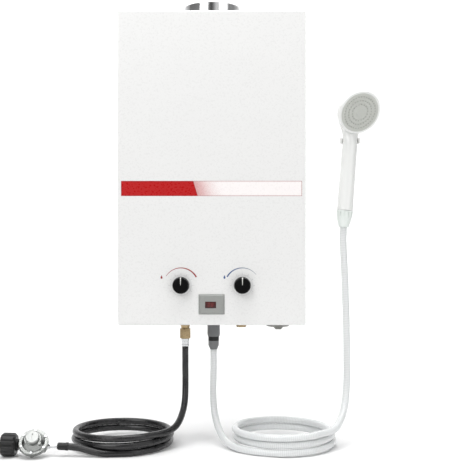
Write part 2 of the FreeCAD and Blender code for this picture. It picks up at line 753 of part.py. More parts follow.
def exhaust_hood():
    """A folded hood with four flat sides over the exchanger and a round neck up into the collar."""
    neck_top = case_top - size.sheet
    base = neck_top - size.hood_neck - size.hood_height
    body = new_body("exhaust_hood", (0, -size.works_depth, base))
    wall = size.jacket_wall
    shut = size.hood_height - wall
    neck = size.flue_neck - size.flue_wall - 0.1
    for step, top, cut_away in ((0, size.hood_height, False), (wall, shut, True)):
        half_x = size.exchanger_width / 2 - step
        half_y = size.exchanger_depth / 2 - step
        narrow = neck + size.hood_margin - step
        foot = draw(sketch_on(body, "XY_Plane"), box_corners(-half_x, half_x, -half_y, half_y))
        lid = draw(sketch_on(body, "XY_Plane", lift=top), box_corners(-narrow, narrow, -half_y - 14, half_y + 14))
        loft(body, [foot, lid], cut_away, ruled=True)
    collar = ring(sketch_on(body, "XY_Plane", lift=shut), 0, 0, neck)
    pad(body, collar, size.hood_neck + wall)
    cut(body, ring(sketch_on(body, "XY_Plane", lift=size.hood_height + size.hood_neck), 0, 0, neck - wall),
        size.hood_neck + wall + 1)


def exchanger_top():
    return case_top - size.sheet - size.hood_neck - size.hood_height


def heat_exchanger():
    """A copper jacket with fins across its upper half and a pipe socket on each side."""
    body = new_body("heat_exchanger", (0, -size.works_depth, exchanger_top() - size.exchanger_height))
    half_x = size.exchanger_width / 2
    half_y = size.exchanger_depth / 2
    wall = size.jacket_wall
    sketch = draw(sketch_on(body, "XY_Plane"), box_corners(-half_x, half_x, -half_y, half_y, 8))
    draw(sketch, box_corners(-half_x + wall, half_x - wall, -half_y + wall, half_y - wall, 7))
    pad(body, sketch, size.exchanger_height)
    margin = 12
    fin = sketch_on(body, "XY_Plane", lift=size.exchanger_height - size.fin_height)
    left = -half_x + margin
    draw(fin, box_corners(left, left + size.fin_thickness, -half_y + wall / 2, half_y - wall / 2))
    blade = pad(body, fin, size.fin_height)
    in_line(body, [blade], "X_Axis", size.exchanger_width - margin * 2 - size.fin_thickness, size.fin_count)
    for side, height in ((-1, 24), (1, size.exchanger_height - 24)):
        socket = sketch_on(body, "YZ_Plane", lift=(half_x - wall / 2) * side)
        ring(socket, 0, height, size.pipe_radius + 2)
        pad(body, socket, 7, reverse=side < 0)


def water_pipe(label, corners, start_up=True):
    """A bent copper pipe in the plane of the fittings; the corners are (x, z)."""
    body = new_body(label, (0, -size.works_depth, 0))
    bent = [corners[0]] + [corner + (size.pipe_bend,) for corner in corners[1:-1]] + [corners[-1]]
    path = draw(sketch_on(body, "XZ_Plane"), bent, closed=False)
    if start_up:
        profile = ring(sketch_on(body, "XY_Plane", lift=corners[0][1]), corners[0][0], 0, size.pipe_radius)
    else:
        profile = ring(sketch_on(body, "YZ_Plane", lift=corners[0][0]), 0, corners[0][1], size.pipe_radius)
    pipe(body, profile, path)


def cold_feed_pipe():
    side = size.exchanger_width / 2 + 6.5
    inlet = exchanger_top() - 24
    water_pipe("cold_feed_pipe", [
        (size.control_reach, controls_z + size.valve_boss_reach), (size.control_reach, -size.cold_pipe_turn),
        (size.cold_pipe_reach, -size.cold_pipe_turn), (size.cold_pipe_reach, inlet), (side, inlet),
    ])


def hot_return_pipe():
    side = -size.exchanger_width / 2 - 6.5
    outlet = exchanger_top() - size.exchanger_height + 24
    water_pipe("hot_return_pipe", [
        (size.hot_outlet_x, plate_top + size.fitting_flange_height), (size.hot_outlet_x, -size.hot_pipe_turn),
        (-size.hot_pipe_reach, -size.hot_pipe_turn), (-size.hot_pipe_reach, outlet), (side, outlet),
    ])


def burner_base():
    return exchanger_top() - size.exchanger_height - size.tray_height


def burner_tray():
    """An open steel tray under the exchanger, with a floor pierced for the jets."""
    body = new_body("burner_tray", (0, -size.works_depth, burner_base()))
    half_x = size.exchanger_width / 2
    half_y = size.exchanger_depth / 2
    wall = size.sheet
    pad(body, draw(sketch_on(body, "XY_Plane"), box_corners(-half_x, half_x, -half_y, half_y, 6)), size.tray_height)
    inside = sketch_on(body, "XY_Plane", lift=size.tray_height)
    draw(inside, box_corners(-half_x + wall, half_x - wall, -half_y + wall, half_y - wall, 5))
    cut(body, inside, size.tray_height - wall)
    holes = sketch_on(body, "XY_Plane", lift=wall)
    gap = size.manifold_depth - size.works_depth
    left = -size.blade_pitch * (size.blade_count - 1) / 2
    hole = cut(body, ring(holes, left, -gap, size.jet_radius), wall)
    in_line(body, [hole], "X_Axis", size.blade_pitch * (size.blade_count - 1), size.blade_count)


def burner_blades():
    """A row of flat burners with a rounded gas throat at the front of each."""
    body = new_body("burner_blades", (0, -size.works_depth, burner_base() + size.sheet), separate=True)
    half_y = size.exchanger_depth / 2 - size.sheet
    foot = size.jet_height - size.sheet
    side = [
        (-half_y, foot + 2), (-half_y + 34, foot + 2, 6), (-half_y + 40, 18, 8), (half_y, 18, 4),
        (half_y, size.blade_height, 10), (-half_y, size.blade_height, 10),
    ]
    left = -size.blade_pitch * (size.blade_count - 1) / 2 - size.blade_thickness / 2
    blade = pad(body, draw(sketch_on(body, "YZ_Plane", lift=left), side), size.blade_thickness)
    in_line(body, [blade], "X_Axis", size.blade_pitch * (size.blade_count - 1), size.blade_count)


def gas_manifold():
    """A bar under the tray with one jet for each burner, and its riser from the valve."""
    body = new_body("gas_manifold", (0, -size.manifold_depth, burner_base() - size.manifold_height))
    half = size.exchanger_width / 2 - 6
    bar = draw(sketch_on(body, "XY_Plane"), box_corners(-half, half, -8, 8, 3))
    pad(body, bar, size.manifold_height)
    left = -size.blade_pitch * (size.blade_count - 1) / 2
    spot = ring(sketch_on(body, "XY_Plane", lift=size.manifold_height), left, 0, size.jet_radius)
    jet = pad(body, spot, size.jet_height)
    in_line(body, [jet], "X_Axis", size.blade_pitch * (size.blade_count - 1), size.blade_count)
    drop = burner_base() - size.manifold_height - (controls_z + size.valve_boss_reach)
    pad(body, ring(sketch_on(body, "XY_Plane"), -size.control_reach, 0, size.riser_radius), drop, reverse=True)


def ignition_electrodes():
    """Spark pin and flame pin: ceramic sleeves through the tray's floor, each with a wire tip."""
    body = new_body(
        "ignition_electrodes", (-size.blade_pitch, -size.works_depth - 18, burner_base() + size.sheet), separate=True
    )
    sleeve = turned(body, [
        (0, 0), (3, 0), (3, 40), (1, 42), (1, size.blade_height + 6), (0, size.blade_height + 6),
    ])
    in_line(body, [sleeve], "X_Axis", size.blade_pitch, 2)


def igniter_box():
    """Spark and control box on the back panel, with its row of terminals."""
    body = new_body("igniter_box", (size.control_reach + 30, -size.sheet, controls_z + 70), FRONT)
    half = size.igniter_width / 2
    pad(body, draw(sketch_on(body, "XY_Plane"), box_corners(-half, half, 0, size.igniter_height, 4)),
        size.igniter_depth)
    spot = sketch_on(body, "XY_Plane", lift=size.igniter_depth)
    draw(spot, box_corners(-half + 8, -half + 14, 8, 20))
    terminal = pad(body, spot, 6)
    in_line(body, [terminal], "X_Axis", size.igniter_width - 22, 5)


# Valves and controls


def valve_bodies():
    """Gas and water valves: a turned barrel about the spindle with a boss above and below."""
    for label, side, inlet_x in (
        ("gas_valve_body", -1, size.gas_inlet_x), ("water_valve_body", 1, size.cold_inlet_x),
    ):
        body = new_body(label, (size.control_reach * side, 0, controls_z), FRONT)
        bore = size.spindle_radius + size.spindle_slack
        turned(body, [
            (0, size.valve_back), bevel(size.valve_radius, size.valve_back, 3),
            bevel(size.valve_radius, size.valve_front - 8, 2), (size.valve_radius * 0.6, size.valve_front - 8),
            (size.valve_radius * 0.6, size.valve_front), (bore, size.valve_front),
            (bore, size.valve_front - 24), (0, size.valve_front - 24),
        ])
        outlet_depth = size.manifold_depth if side < 0 else size.works_depth
        for x, depth, down in ((0, outlet_depth, False), (inlet_x - size.control_reach * side, size.works_depth, True)):
            start = (size.valve_radius * 0.5) * (1 if down else -1)
            spot = ring(sketch_on(body, "XZ_Plane", lift=start), x, depth, size.valve_boss)
            pad(body, spot, size.valve_boss_reach - size.valve_radius * 0.5, reverse=not down)
        cross = ring(sketch_on(body, "YZ_Plane"), 0, size.works_depth, size.side_boss)
        pad(body, cross, (size.valve_radius + size.side_boss_reach) * 2, both_ways=True)


def spindles_and_knobs():
    """Each knob sits on its spindle's end; the spindle turns in its valve."""
    for label, side in (("gas", -1), ("water", 1)):
        at = (size.control_reach * side, 0, controls_z)
        spindle = new_body(label + "_spindle", at, FRONT)
        tip = size.case_depth + size.knob_gap + size.knob_height * 0.6
        foot = size.valve_front - 23
        turned(spindle, [
            (0, foot), (size.spindle_radius, foot), (size.spindle_radius, tip), (0, tip),
        ])
        knob = new_body(label + "_knob", at, FRONT)
        back = size.case_depth + size.knob_gap
        face = back + size.knob_height
        turned(knob, [
            (size.spindle_radius, back), (size.knob_radius, back), (size.knob_radius, back + 3),
            (size.knob_radius - 1.4, face, size.knob_edge), (0, face), (0, tip), (size.spindle_radius, tip),
        ])
        half = size.pointer_width / 2
        mark = box_corners(-half, half, 0, size.knob_radius * 1.1)
        sketch = draw(sketch_on(knob, "XY_Plane", lift=face), mark)
        cut(knob, sketch, size.pointer_depth)


def gas_solenoid():
    """Magnet valve on the gas valve's outer side."""
    seat = size.valve_radius + size.side_boss_reach
    body = new_body("gas_solenoid", (-size.control_reach - seat, -size.works_depth, controls_z), LEFT)
    turned(body, [
        (0, 0), (8, 0), (8, 4), bevel(14, 4, 1.5), bevel(14, 40, 1.5), (5, 40), (5, 46), (0, 46),
    ])


def diaphragm_cover():
    """Pressure housing on the water valve's inner side, in two halves with a bolted seam."""
    seat = size.valve_radius + size.side_boss_reach
    body = new_body("diaphragm_cover", (size.control_reach - seat, -size.works_depth, controls_z), LEFT)
    turned(body, [
        (0, 0), (8, 0), (8, 3), (22, 6), (25, 6), (25, 11), (22, 11), (18, 18), (0, 18),
    ])


def microswitch():
    """Water-flow switch above the water valve, with its lever."""
    seat = size.valve_radius + size.side_boss_reach
    body = new_body("microswitch", (size.control_reach + seat, -size.works_depth, controls_z), FRONT)
    pad(body, draw(sketch_on(body, "XY_Plane"), box_corners(0, 12, -10, 10, 1)), 6, both_ways=True)
    pad(body, draw(sketch_on(body, "XY_Plane"), box_corners(12, 14, -10, 6)), 4, both_ways=True)


# Display


def display_outline(step):
    half = size.bezel_width / 2 + step
    middle = -size.display_drop
    return box_corners(-half, half, middle - size.bezel_height / 2 - step, middle + size.bezel_height / 2 + step, 1.5)


def window_outline():
    left = size.window_shift - size.window_width / 2
    low = -size.display_drop - 1 - size.window_height / 2
    return box_corners(left, left + size.window_width, low, low + size.window_height)


def display_bezel():
    """A frame with sloping sides and a stepped opening for the window."""
    body = new_body("display_bezel", turn=FRONT)
    pad(body, draw(sketch_on(body, "XY_Plane", lift=size.case_depth), display_outline(0)),
        size.bezel_proud, lean=-size.bezel_slope)
    skirt = draw(sketch_on(body, "XY_Plane", lift=size.case_depth), display_outline(-2))
    pad(body, skirt, size.bezel_skirt, reverse=True)
    face = size.case_depth + size.bezel_proud
    cut(body, draw(sketch_on(body, "XY_Plane", lift=face), window_outline()), size.bezel_proud + size.bezel_skirt)


def display_window():
    body = new_body("display_window", turn=FRONT)
    back = size.case_depth + size.bezel_proud - size.window_recess - size.window_thickness
    pad(body, draw(sketch_on(body, "XY_Plane", lift=back), window_outline()), size.window_thickness)


def display_board():
    """Circuit board on the frame's back, with the number block behind the window."""
    body = new_body("display_board", turn=FRONT)
    back = size.case_depth - size.bezel_skirt
    pad(body, draw(sketch_on(body, "XY_Plane", lift=back), display_outline(-3)), size.board_thickness, reverse=True)
    block = draw(sketch_on(body, "XY_Plane", lift=back), window_outline())
    pad(body, block, size.bezel_skirt + size.bezel_proud - size.window_recess - size.window_thickness)


# Fittings under the case


def gas_inlet_fitting():
    body = new_body("gas_inlet_fitting", (size.gas_inlet_x, -size.works_depth, 0))
    top = controls_z - size.valve_boss_reach
    foot = case_bottom - size.gas_fitting_drop
    neck = case_bottom - size.gas_fitting_drop / 2
    turned(body, [
        (0, top), (size.gas_thread, top), (size.gas_thread, plate_top + size.fitting_flange_height),
        (size.fitting_flange, plate_top + size.fitting_flange_height), (size.fitting_flange, plate_top),
        (size.gas_thread, plate_top), (size.gas_thread, plate_bottom), (size.gas_fitting_radius, plate_bottom),
        (size.gas_fitting_radius, neck), (size.gas_thread + 0.8, foot), (size.gas_thread, foot),
        (size.gas_thread, foot - size.gas_thread_length), (0, foot - size.gas_thread_length),
    ])


def gas_flare_nut():
    """A hexagon nut, its corners turned off at both ends."""
    foot = case_bottom - size.gas_fitting_drop - size.gas_nut_height
    body = new_body("gas_flare_nut", (size.gas_inlet_x, -size.works_depth, foot))
    pad(body, draw(sketch_on(body, "XY_Plane"), polygon(size.gas_nut_radius, 6, 30)), size.gas_nut_height)
    flat = size.gas_nut_radius * math.cos(math.pi / 6)
    over = size.gas_nut_radius + 1
    high = size.gas_nut_height
    groove(body, [(flat, 0), (over, 0), (over, 1.5)])
    groove(body, [(flat, high), (over, high - 1.5), (over, high)])
    thread = sketch_on(body, "XY_Plane", lift=high)
    cut(body, ring(thread, 0, 0, size.gas_thread + 0.05), size.gas_thread_length)
    hole = sketch_on(body, "XY_Plane", lift=high - size.gas_thread_length)
    cut(body, ring(hole, 0, 0, size.gas_thread - 1.2), high - size.gas_thread_length)


def gas_ferrule():
    """Crimped ferrule with its stem up inside the nut."""
    top = case_bottom - size.gas_fitting_drop - size.gas_nut_height
    body = new_body("gas_ferrule", (size.gas_inlet_x, -size.works_depth, top - size.gas_ferrule_height))
    radius = size.gas_ferrule_radius
    high = size.gas_ferrule_height
    waist = radius - 0.6
    stem = size.gas_thread - 1.3
    turned(body, [
        (0, 0), bevel(radius, 0, 0.7), (radius, 3), (waist, 4), (waist, high - 6), (radius, high - 5),
        bevel(radius, high, 0.7), (stem, high), (stem, high + size.gas_nut_height - size.gas_thread_length),
        (0, high + size.gas_nut_height - size.gas_thread_length),
    ])


def cold_water_inlet():
    """Brass half-inch inlet with a flange on the plate."""
    body = new_body("cold_water_inlet", (size.cold_inlet_x, -size.works_depth, 0))
    top = controls_z - size.valve_boss_reach
    foot = case_bottom - size.cold_thread_drop
    upper = size.cold_thread - 2
    relief = size.cold_thread - 0.9
    turned(body, [
        (0, top), (upper, top), (upper, plate_top + size.fitting_flange_height),
        (size.fitting_flange, plate_top + size.fitting_flange_height), (size.fitting_flange, plate_top),
        (relief, plate_top), (relief, plate_bottom - 1.2), (size.cold_thread, plate_bottom - 1.2),
        (size.cold_thread, foot + 1), (size.cold_thread - 1, foot),
        (size.cold_bore, foot), (size.cold_bore, foot + size.cold_bore_depth), (0, foot + size.cold_bore_depth),
    ])


def drain_plug():
    """Drain and relief plug with a knurled head."""
    body = new_body("drain_plug", (size.drain_x, -size.drain_depth, 0))
    foot = case_bottom - 5
    turned(body, [
        (0, plate_top + 14), (5, plate_top + 14), (5, plate_bottom), (8, plate_bottom),
        bevel(8, foot, 1), (0, foot),
    ])


def hot_water_outlet():
    """Outlet through the plate, ending in the hose coupler's fixed core."""
    body = new_body("hot_water_outlet", (size.hot_outlet_x, -size.works_depth, 0))
    top = plate_top + size.fitting_flange_height
    foot = collar_foot()
    turned(body, [
        (0, top), (size.fitting_flange, top), (size.fitting_flange, plate_top),
        (size.core_radius, plate_top), (size.core_radius, foot), (0, foot),
    ])


def collar_foot():
    return case_bottom - size.collar_top - size.collar_length


def outlet_coupler():
    """The coupler's sliding collar: a sleeve that an inner lip guides on the core."""
    body = new_body("outlet_coupler", (size.hot_outlet_x, -size.works_depth, collar_foot()))
    lip = size.core_radius + size.collar_slack
    high = size.collar_length
    turned(body, [
        (size.collar_bore, 0), (size.collar_radius - 0.8, 0), (size.collar_radius, 5),
        bevel(size.collar_radius, high, 0.8), (lip, high), (lip, high - 4), (size.collar_bore, high - 4),
    ])


def coupler_ring():
    body = new_body("coupler_ring", (size.hot_outlet_x, -size.works_depth, collar_foot() - size.ring_height))
    turned(body, [
        (0, 0), (size.ring_radius, 0), (size.ring_radius, size.ring_height), (0, size.ring_height),
    ])


def sleeve_foot():
    return collar_foot() - size.ring_height - size.sleeve_height


def hose_tail_sleeve():
    """Grey sleeve that tapers down to the hose."""
    body = new_body("hose_tail_sleeve", (size.hot_outlet_x, -size.works_depth, sleeve_foot()))
    turned(body, [
        (0, 0), (size.shower_hose / 2 + 0.6, 0), (size.ring_radius, size.sleeve_taper, 6),
        (size.ring_radius, size.sleeve_height), (0, size.sleeve_height),
    ])


def battery_foot():
    return case_bottom - size.tube_drop


def battery_tube():
    """Tube for two cells, closed at the top, with a flange on the plate."""
    body = new_body("battery_tube", (size.battery_x, -size.works_depth, battery_foot()))
    outer = size.tube_bore + size.tube_wall
    shelf = plate_top - battery_foot()
    inner_top = size.cap_plug + size.cell_length * 2 + size.cell_nub * 2 + size.board_thickness
    turned(body, [
        (size.tube_bore, 0), (outer, 0), (outer, shelf), (outer + 4, shelf), (outer + 4, shelf + 2),
        (outer, shelf + 2), bevel(outer, inner_top + size.tube_wall, 2), (0, inner_top + size.tube_wall),
        (0, inner_top), (size.tube_bore, inner_top),
    ])


def battery_cells():
    body = new_body(
        "battery_cells", (size.battery_x, -size.works_depth, battery_foot() + size.cap_plug), separate=True
    )
    cell = turned(body, [
        (0, 0), (size.cell_radius, 0), (size.cell_radius, size.cell_length), (4.5, size.cell_length),
        (4.5, size.cell_length + size.cell_nub), (0, size.cell_length + size.cell_nub),
    ])
    in_line(body, [cell], "Z_Axis", size.cell_length + size.cell_nub, 2)


def battery_contact():
    """Spring plate that the upper cell's nub presses on."""
    top = battery_foot() + size.cap_plug + size.cell_length * 2 + size.cell_nub * 2
    body = new_body("battery_contact", (size.battery_x, -size.works_depth, top))
    turned(body, [
        (0, 0), (5, 0), (9, size.board_thickness * 0.6), (size.tube_bore, size.board_thickness * 0.6),
        (size.tube_bore, size.board_thickness), (0, size.board_thickness),
    ])


def battery_cap():
    """A round twist cap with a tapered grip bar across it and a plug up inside the tube."""
    top = battery_foot() - size.cap_gap
    body = new_body("battery_cap", (size.battery_x, -size.works_depth, top))
    plug = size.tube_bore - size.cap_plug_slack
    under = -size.cap_thickness
    turned(body, [
        (0, under), bevel(size.cap_radius, under, 1), (size.cap_radius, 0), (plug, 0),
        bevel(plug, size.cap_plug + size.cap_gap - 0.2, 1), (0, size.cap_plug + size.cap_gap - 0.2),
    ])
    half = size.grip_width / 2
    bar = [(-half, under + 0.5), (-half * 0.55, under - size.grip_height, 1.5),
           (half * 0.55, under - size.grip_height, 1.5), (half, under + 0.5)]
    pad(body, draw(sketch_on(body, "XZ_Plane"), bar), size.grip_length, both_ways=True)


# The regulator line, laid out along its own axis


def line_direction():
    rise = math.radians(number(size.line_rise))
    return Vector(-math.cos(rise), 0, math.sin(rise))


def line_point(run):
    """A point on the line, a run away from the hose's end, as formulas."""
    rise = math.radians(number(size.line_rise))
    return (size.line_x - run * math.cos(rise), size.line_y, -size.line_drop + run * math.sin(rise))


LINE_TURN = Rotation(Vector(0, 1, 0), -90 + number(size.line_rise))

regulator_run = size.tail_ferrule_length + size.outlet_length + size.regulator_radius - 3.5
stem_run = regulator_run + size.regulator_radius - 3.5
nut_run = regulator_run + size.regulator_radius + 0.8


def gas_tail_ferrule():
    body = new_body("gas_tail_ferrule", line_point(0), LINE_TURN)
    radius = size.tail_ferrule_radius
    long = size.tail_ferrule_length
    bore = size.gas_hose / 2 + 0.05
    grip = -size.tail_ferrule_grip
    turned(body, [
        (0, 0), (bore, 0), (bore, grip), (radius, grip), (radius + 0.6, grip + 1), (radius + 0.6, grip + 5),
        (radius, grip + 6), (radius, long - 2), (radius - 2, long), (0, long),
    ])


def regulator_outlet():
    """Bright outlet pipe with a small shoulder where it enters the regulator."""
    body = new_body("regulator_outlet", line_point(size.tail_ferrule_length), LINE_TURN)
    radius = size.outlet_radius
    end = size.outlet_length
    turned(body, [
        (0, 0), (radius, 0), (radius, end - 6), (radius + 1.4, end - 5), (radius + 1.4, end), (0, end),
    ])


def regulator_place():
    """The regulator's own frame: Z along the bonnet, X along the line towards the tank."""
    along = line_direction()
    tip = math.radians(number(size.regulator_tip))
    level = Vector(0, -1, 0)
    upright = along.cross(level)
    if upright.z < 0:
        upright = -upright
    lean = upright * math.cos(tip) + level * math.sin(tip)
    matrix = FreeCAD.Matrix()
    side = lean.cross(along)
    for row, (a, b, c) in enumerate(zip(along, side, lean), 1):
        for column, value in enumerate((a, b, c), 1):
            setattr(matrix, "A%d%d" % (row, column), value)
    turn = Placement(matrix).Rotation
    base = line_point(regulator_run)
    lift = turn.multVec(Vector(0, 0, 1))
    at = [base[i] + size.regulator_offset * lift[i] for i in range(3)]
    return at, turn


def regulator_body():
    """Die-cast lower half: a cup under a round flange, with a boss on each side for the line."""
    at, turn = regulator_place()
    body = new_body("regulator_body", at, turn)
    deep = -size.regulator_cup_depth
    half = size.regulator_flange / 2
    turned(body, [
        (0, deep), (size.regulator_cup - 8, deep), (size.regulator_cup, deep + 7, 5),
        (size.regulator_cup + 1, -half), (size.regulator_radius, -half), (size.regulator_radius, half),
        (0, half),
    ])
    boss = ring(sketch_on(body, "YZ_Plane"), 0, -size.regulator_offset, size.regulator_boss)
    pad(body, boss, (size.regulator_radius - 3.5) * 2, both_ways=True)
    lug = ring(sketch_on(body, "XY_Plane", lift=-half), 0, size.regulator_radius - 4, 4.5)
    ear = pad(body, lug, 4, reverse=True)
    in_circle(body, [ear], 6)


def regulator_bonnet():
    """Upper half: a stepped cone over the diaphragm, with a vent boss."""
    at, turn = regulator_place()
    body = new_body("regulator_bonnet", at, turn)
    foot = size.regulator_flange / 2
    top = foot + size.bonnet_height
    shoulder = size.bonnet_cap_radius + 2.5
    turned(body, [
        (0, foot), (size.regulator_radius - 0.4, foot), bevel(size.regulator_radius - 0.4, foot + 2.2, 0.6),
        (size.bonnet_radius, foot + 2.2), (shoulder + 2, top - 2, 5), (shoulder, top), (0, top),
    ])
    vent = ring(sketch_on(body, "XY_Plane", lift=foot + 2), -size.bonnet_radius * 0.62, size.bonnet_radius * 0.42, 3.2)
    pad(body, vent, size.bonnet_height - 1)


def regulator_cap():
    """Screw cap over the spring, with a coin slot."""
    at, turn = regulator_place()
    body = new_body("regulator_cap", at, turn)
    foot = size.regulator_flange / 2 + size.bonnet_height
    top = foot + size.bonnet_cap_height
    turned(body, [(0, foot), (size.bonnet_cap_radius, foot), bevel(size.bonnet_cap_radius, top, 1.5), (0, top)])
    slot = box_corners(-1.2, 1.2, -size.bonnet_cap_radius * 0.5, size.bonnet_cap_radius * 0.5)
    cut(body, draw(sketch_on(body, "XY_Plane", lift=top), slot), 1.4)


def regulator_screws():
    at, turn = regulator_place()
    body = new_body("regulator_screws", at, turn, separate=True)
    foot = size.regulator_flange / 2 + 2.2
    head = ring(sketch_on(body, "XY_Plane", lift=foot), 0, size.regulator_radius - 3.4, 2.2)
    screw = pad(body, head, 1.6)
    in_circle(body, [screw], 6)


def tank_stem():
    """Brass nipple that the tank nut spins on, with the collar that keeps the nut and a rounded nose."""
    body = new_body("tank_stem", line_point(stem_run), LINE_TURN)
    seat = nut_run - stem_run + size.nut_neck_length + size.tank_nut_length - size.tank_nut_mouth + 0.4
    turned(body, [
        (0, 0), (size.stem_radius, 0), (size.stem_radius, seat), (size.stem_collar, seat),
        (size.stem_collar, seat + 4), (size.stem_radius, seat + 5), (size.stem_radius - 1, seat + 14),
        (2, seat + 17), (0, seat + 17),
    ])


def tank_nut():
    """Hand nut: a fluted barrel with chamfered ends, an open mouth for the tank valve and a stepped neck."""
    body = new_body("tank_nut", line_point(nut_run), LINE_TURN)
    bore = size.stem_radius + size.stem_slack
    neck = size.nut_neck_length
    end = neck + size.tank_nut_length
    floor = end - size.tank_nut_mouth
    turned(body, [
        (bore, 0), (size.nut_neck_radius - 2, 0), (size.nut_neck_radius, neck * 0.5),
        (size.nut_neck_radius, neck), (size.tank_nut_radius - 4, neck), (size.tank_nut_radius, neck + 4),
        (size.tank_nut_radius, end - 4), (size.tank_nut_radius - 3, end), (size.tank_nut_bore, end),
        (size.tank_nut_bore, floor), (bore, floor),
    ])
    reach = size.tank_nut_radius + size.flute_radius * 0.35
    flute = ring(sketch_on(body, "XY_Plane", lift=neck), reach, 0, size.flute_radius)
    first = cut(body, flute, size.tank_nut_length, reverse=True)
    in_circle(body, [first], size.flute_count)


# The handset


def handset_turn():
    """The handle's own frame: Z up the handle, -Y the way the spray face looks."""
    lean = Rotation(Vector(0, 1, 0), number(size.handle_lean))
    yaw = Rotation(Vector(0, 0, 1), number(size.handle_yaw))
    return lean.multiply(yaw)


def handset_point(along=0, forward=0):
    """A point of the handset in the row's frame, as formulas."""
    turn = handset_turn()
    up = turn.multVec(Vector(0, 0, 1))
    out = turn.multVec(Vector(0, -1, 0))
    foot = (size.handset_x, size.handset_y, -size.handset_drop)
    return [foot[i] + along * up[i] + forward * out[i] for i in range(3)]


def head_turn():
    """The head's own frame: Z out of the spray face."""
    tilt = Rotation(Vector(1, 0, 0), 90 + number(size.head_tilt))
    return handset_turn().multiply(tilt)


def handset_shell():
    """One moulding: a slim tapered handle that spreads at the neck into a round, dished head."""
    body = new_body("handset_shell", handset_point(), handset_turn())
    start = size.swivel_gap
    turned(body, [
        (0, -size.spigot_length), (size.spigot_radius, -size.spigot_length, 1), (size.spigot_radius, start),
        (size.handle_foot, start, 0.8), (size.handle_head, size.handle_length),
        (0, size.handle_length),
    ])
    sections = []
    # rise above the plain handle, half width, half depth, and the section's middle towards the front
    for rise, across, along, forward in (
        (0, 1, 1, 0), (12, 1.05, 0.87, -0.8), (24, 1.35, 0.68, -1.0), (36, 1.95, 0.6, 2.2), (48, 2.35, 0.5, 6.2),
    ):
        sketch = sketch_on(body, "XY_Plane", lift=size.handle_length + rise)
        sections.append(oval(sketch, size.handle_head * across, size.handle_head * along, 0, -forward))
    loft(body, sections)
    tilt = size.head_tilt + 180
    middle = (-size.head_forward, size.head_rise)
    radius = size.head_radius
    back = -size.head_rim
    sketch = sketch_on(body, "YZ_Plane", swing=tilt - 90, shift=middle)
    draw(sketch, [(0, -2), (radius + 0.3, -2), (radius + 0.3, 12), (0, 12)])
    seat = body.newObject("PartDesign::Groove", "handset_shell_seat")
    seat.Profile = sketch
    seat.ReferenceAxis = (sketch, ["V_Axis"])
    seat.Angle = 360
    sketch = sketch_on(body, "YZ_Plane", swing=tilt - 90, shift=middle)
    draw(sketch, [
        (0, 0), (radius - size.rim_width, 0), (radius - size.rim_width, -2), (radius, -2), (radius, back, 5),
        (radius * 0.55, back - size.head_dome, 14), (0, back - size.head_dome),
    ])
    head = body.newObject("PartDesign::Revolution", "handset_shell_head")
    head.Profile = sketch
    head.ReferenceAxis = (sketch, ["V_Axis"])
    head.Angle = 360


def head_point(out=0):
    """A point on the head's axis, as formulas."""
    normal = head_turn().multVec(Vector(0, 0, 1))
    middle = handset_point(size.head_rise, size.head_forward)
    return [middle[i] + normal[i] * out for i in range(3)]


def handset_rim():
    """Bright ring round the spray face."""
    body = new_body("handset_rim", head_point(), head_turn())
    radius = size.head_radius
    turned(body, [
        (radius - size.rim_width, -2), (radius, -2), (radius, size.rim_proud, 1.4),
        (radius - size.rim_width, size.rim_proud),
    ])


def handset_face():
    """Spray plate: a shallow dish with raised rings for the nozzles and a round centre."""
    body = new_body("handset_face", head_point(), head_turn())
    radius = size.head_radius - size.rim_width
    profile = [(0, 0), (radius, 0), (radius, size.rim_proud - 0.2), (radius - 2, 0.4)]
    for part in (0.82, 0.62, 0.42):
        crest = radius * part
        profile += [(crest + 2.2, 0.4), (crest + 1.5, 0.9), (crest - 1.5, 0.9), (crest - 2.2, 0.4)]
    centre = radius * 0.18
    turned(body, profile + [(centre + 0.6, 0.4), (centre, 1.1), (0, 1.1)])


def handset_nut():
    """Conical hose nut with grip grooves; it turns on the handle's spigot."""
    body = new_body("handset_nut", handset_point(-size.swivel_height), handset_turn())
    high = size.swivel_height - size.swivel_gap
    bore = size.spigot_radius + size.spigot_slack
    deep = size.swivel_height - size.spigot_length - 0.5
    turned(body, [
        (0, 0), (size.swivel_foot - 1, 0), (size.swivel_foot, 3), (size.swivel_head - 0.6, high - 11, 8),
        (size.swivel_head, high), (bore, high), (bore, deep), (0, deep),
    ])
    edge = size.swivel_foot + (size.swivel_head - size.swivel_foot) * 0.62
    spot = ring(sketch_on(body, "XY_Plane", lift=high - 3), edge + size.swivel_groove * 1.1, 0, size.swivel_groove)
    first = cut(body, spot, high - 14)
    in_circle(body, [first], size.swivel_groove_count)


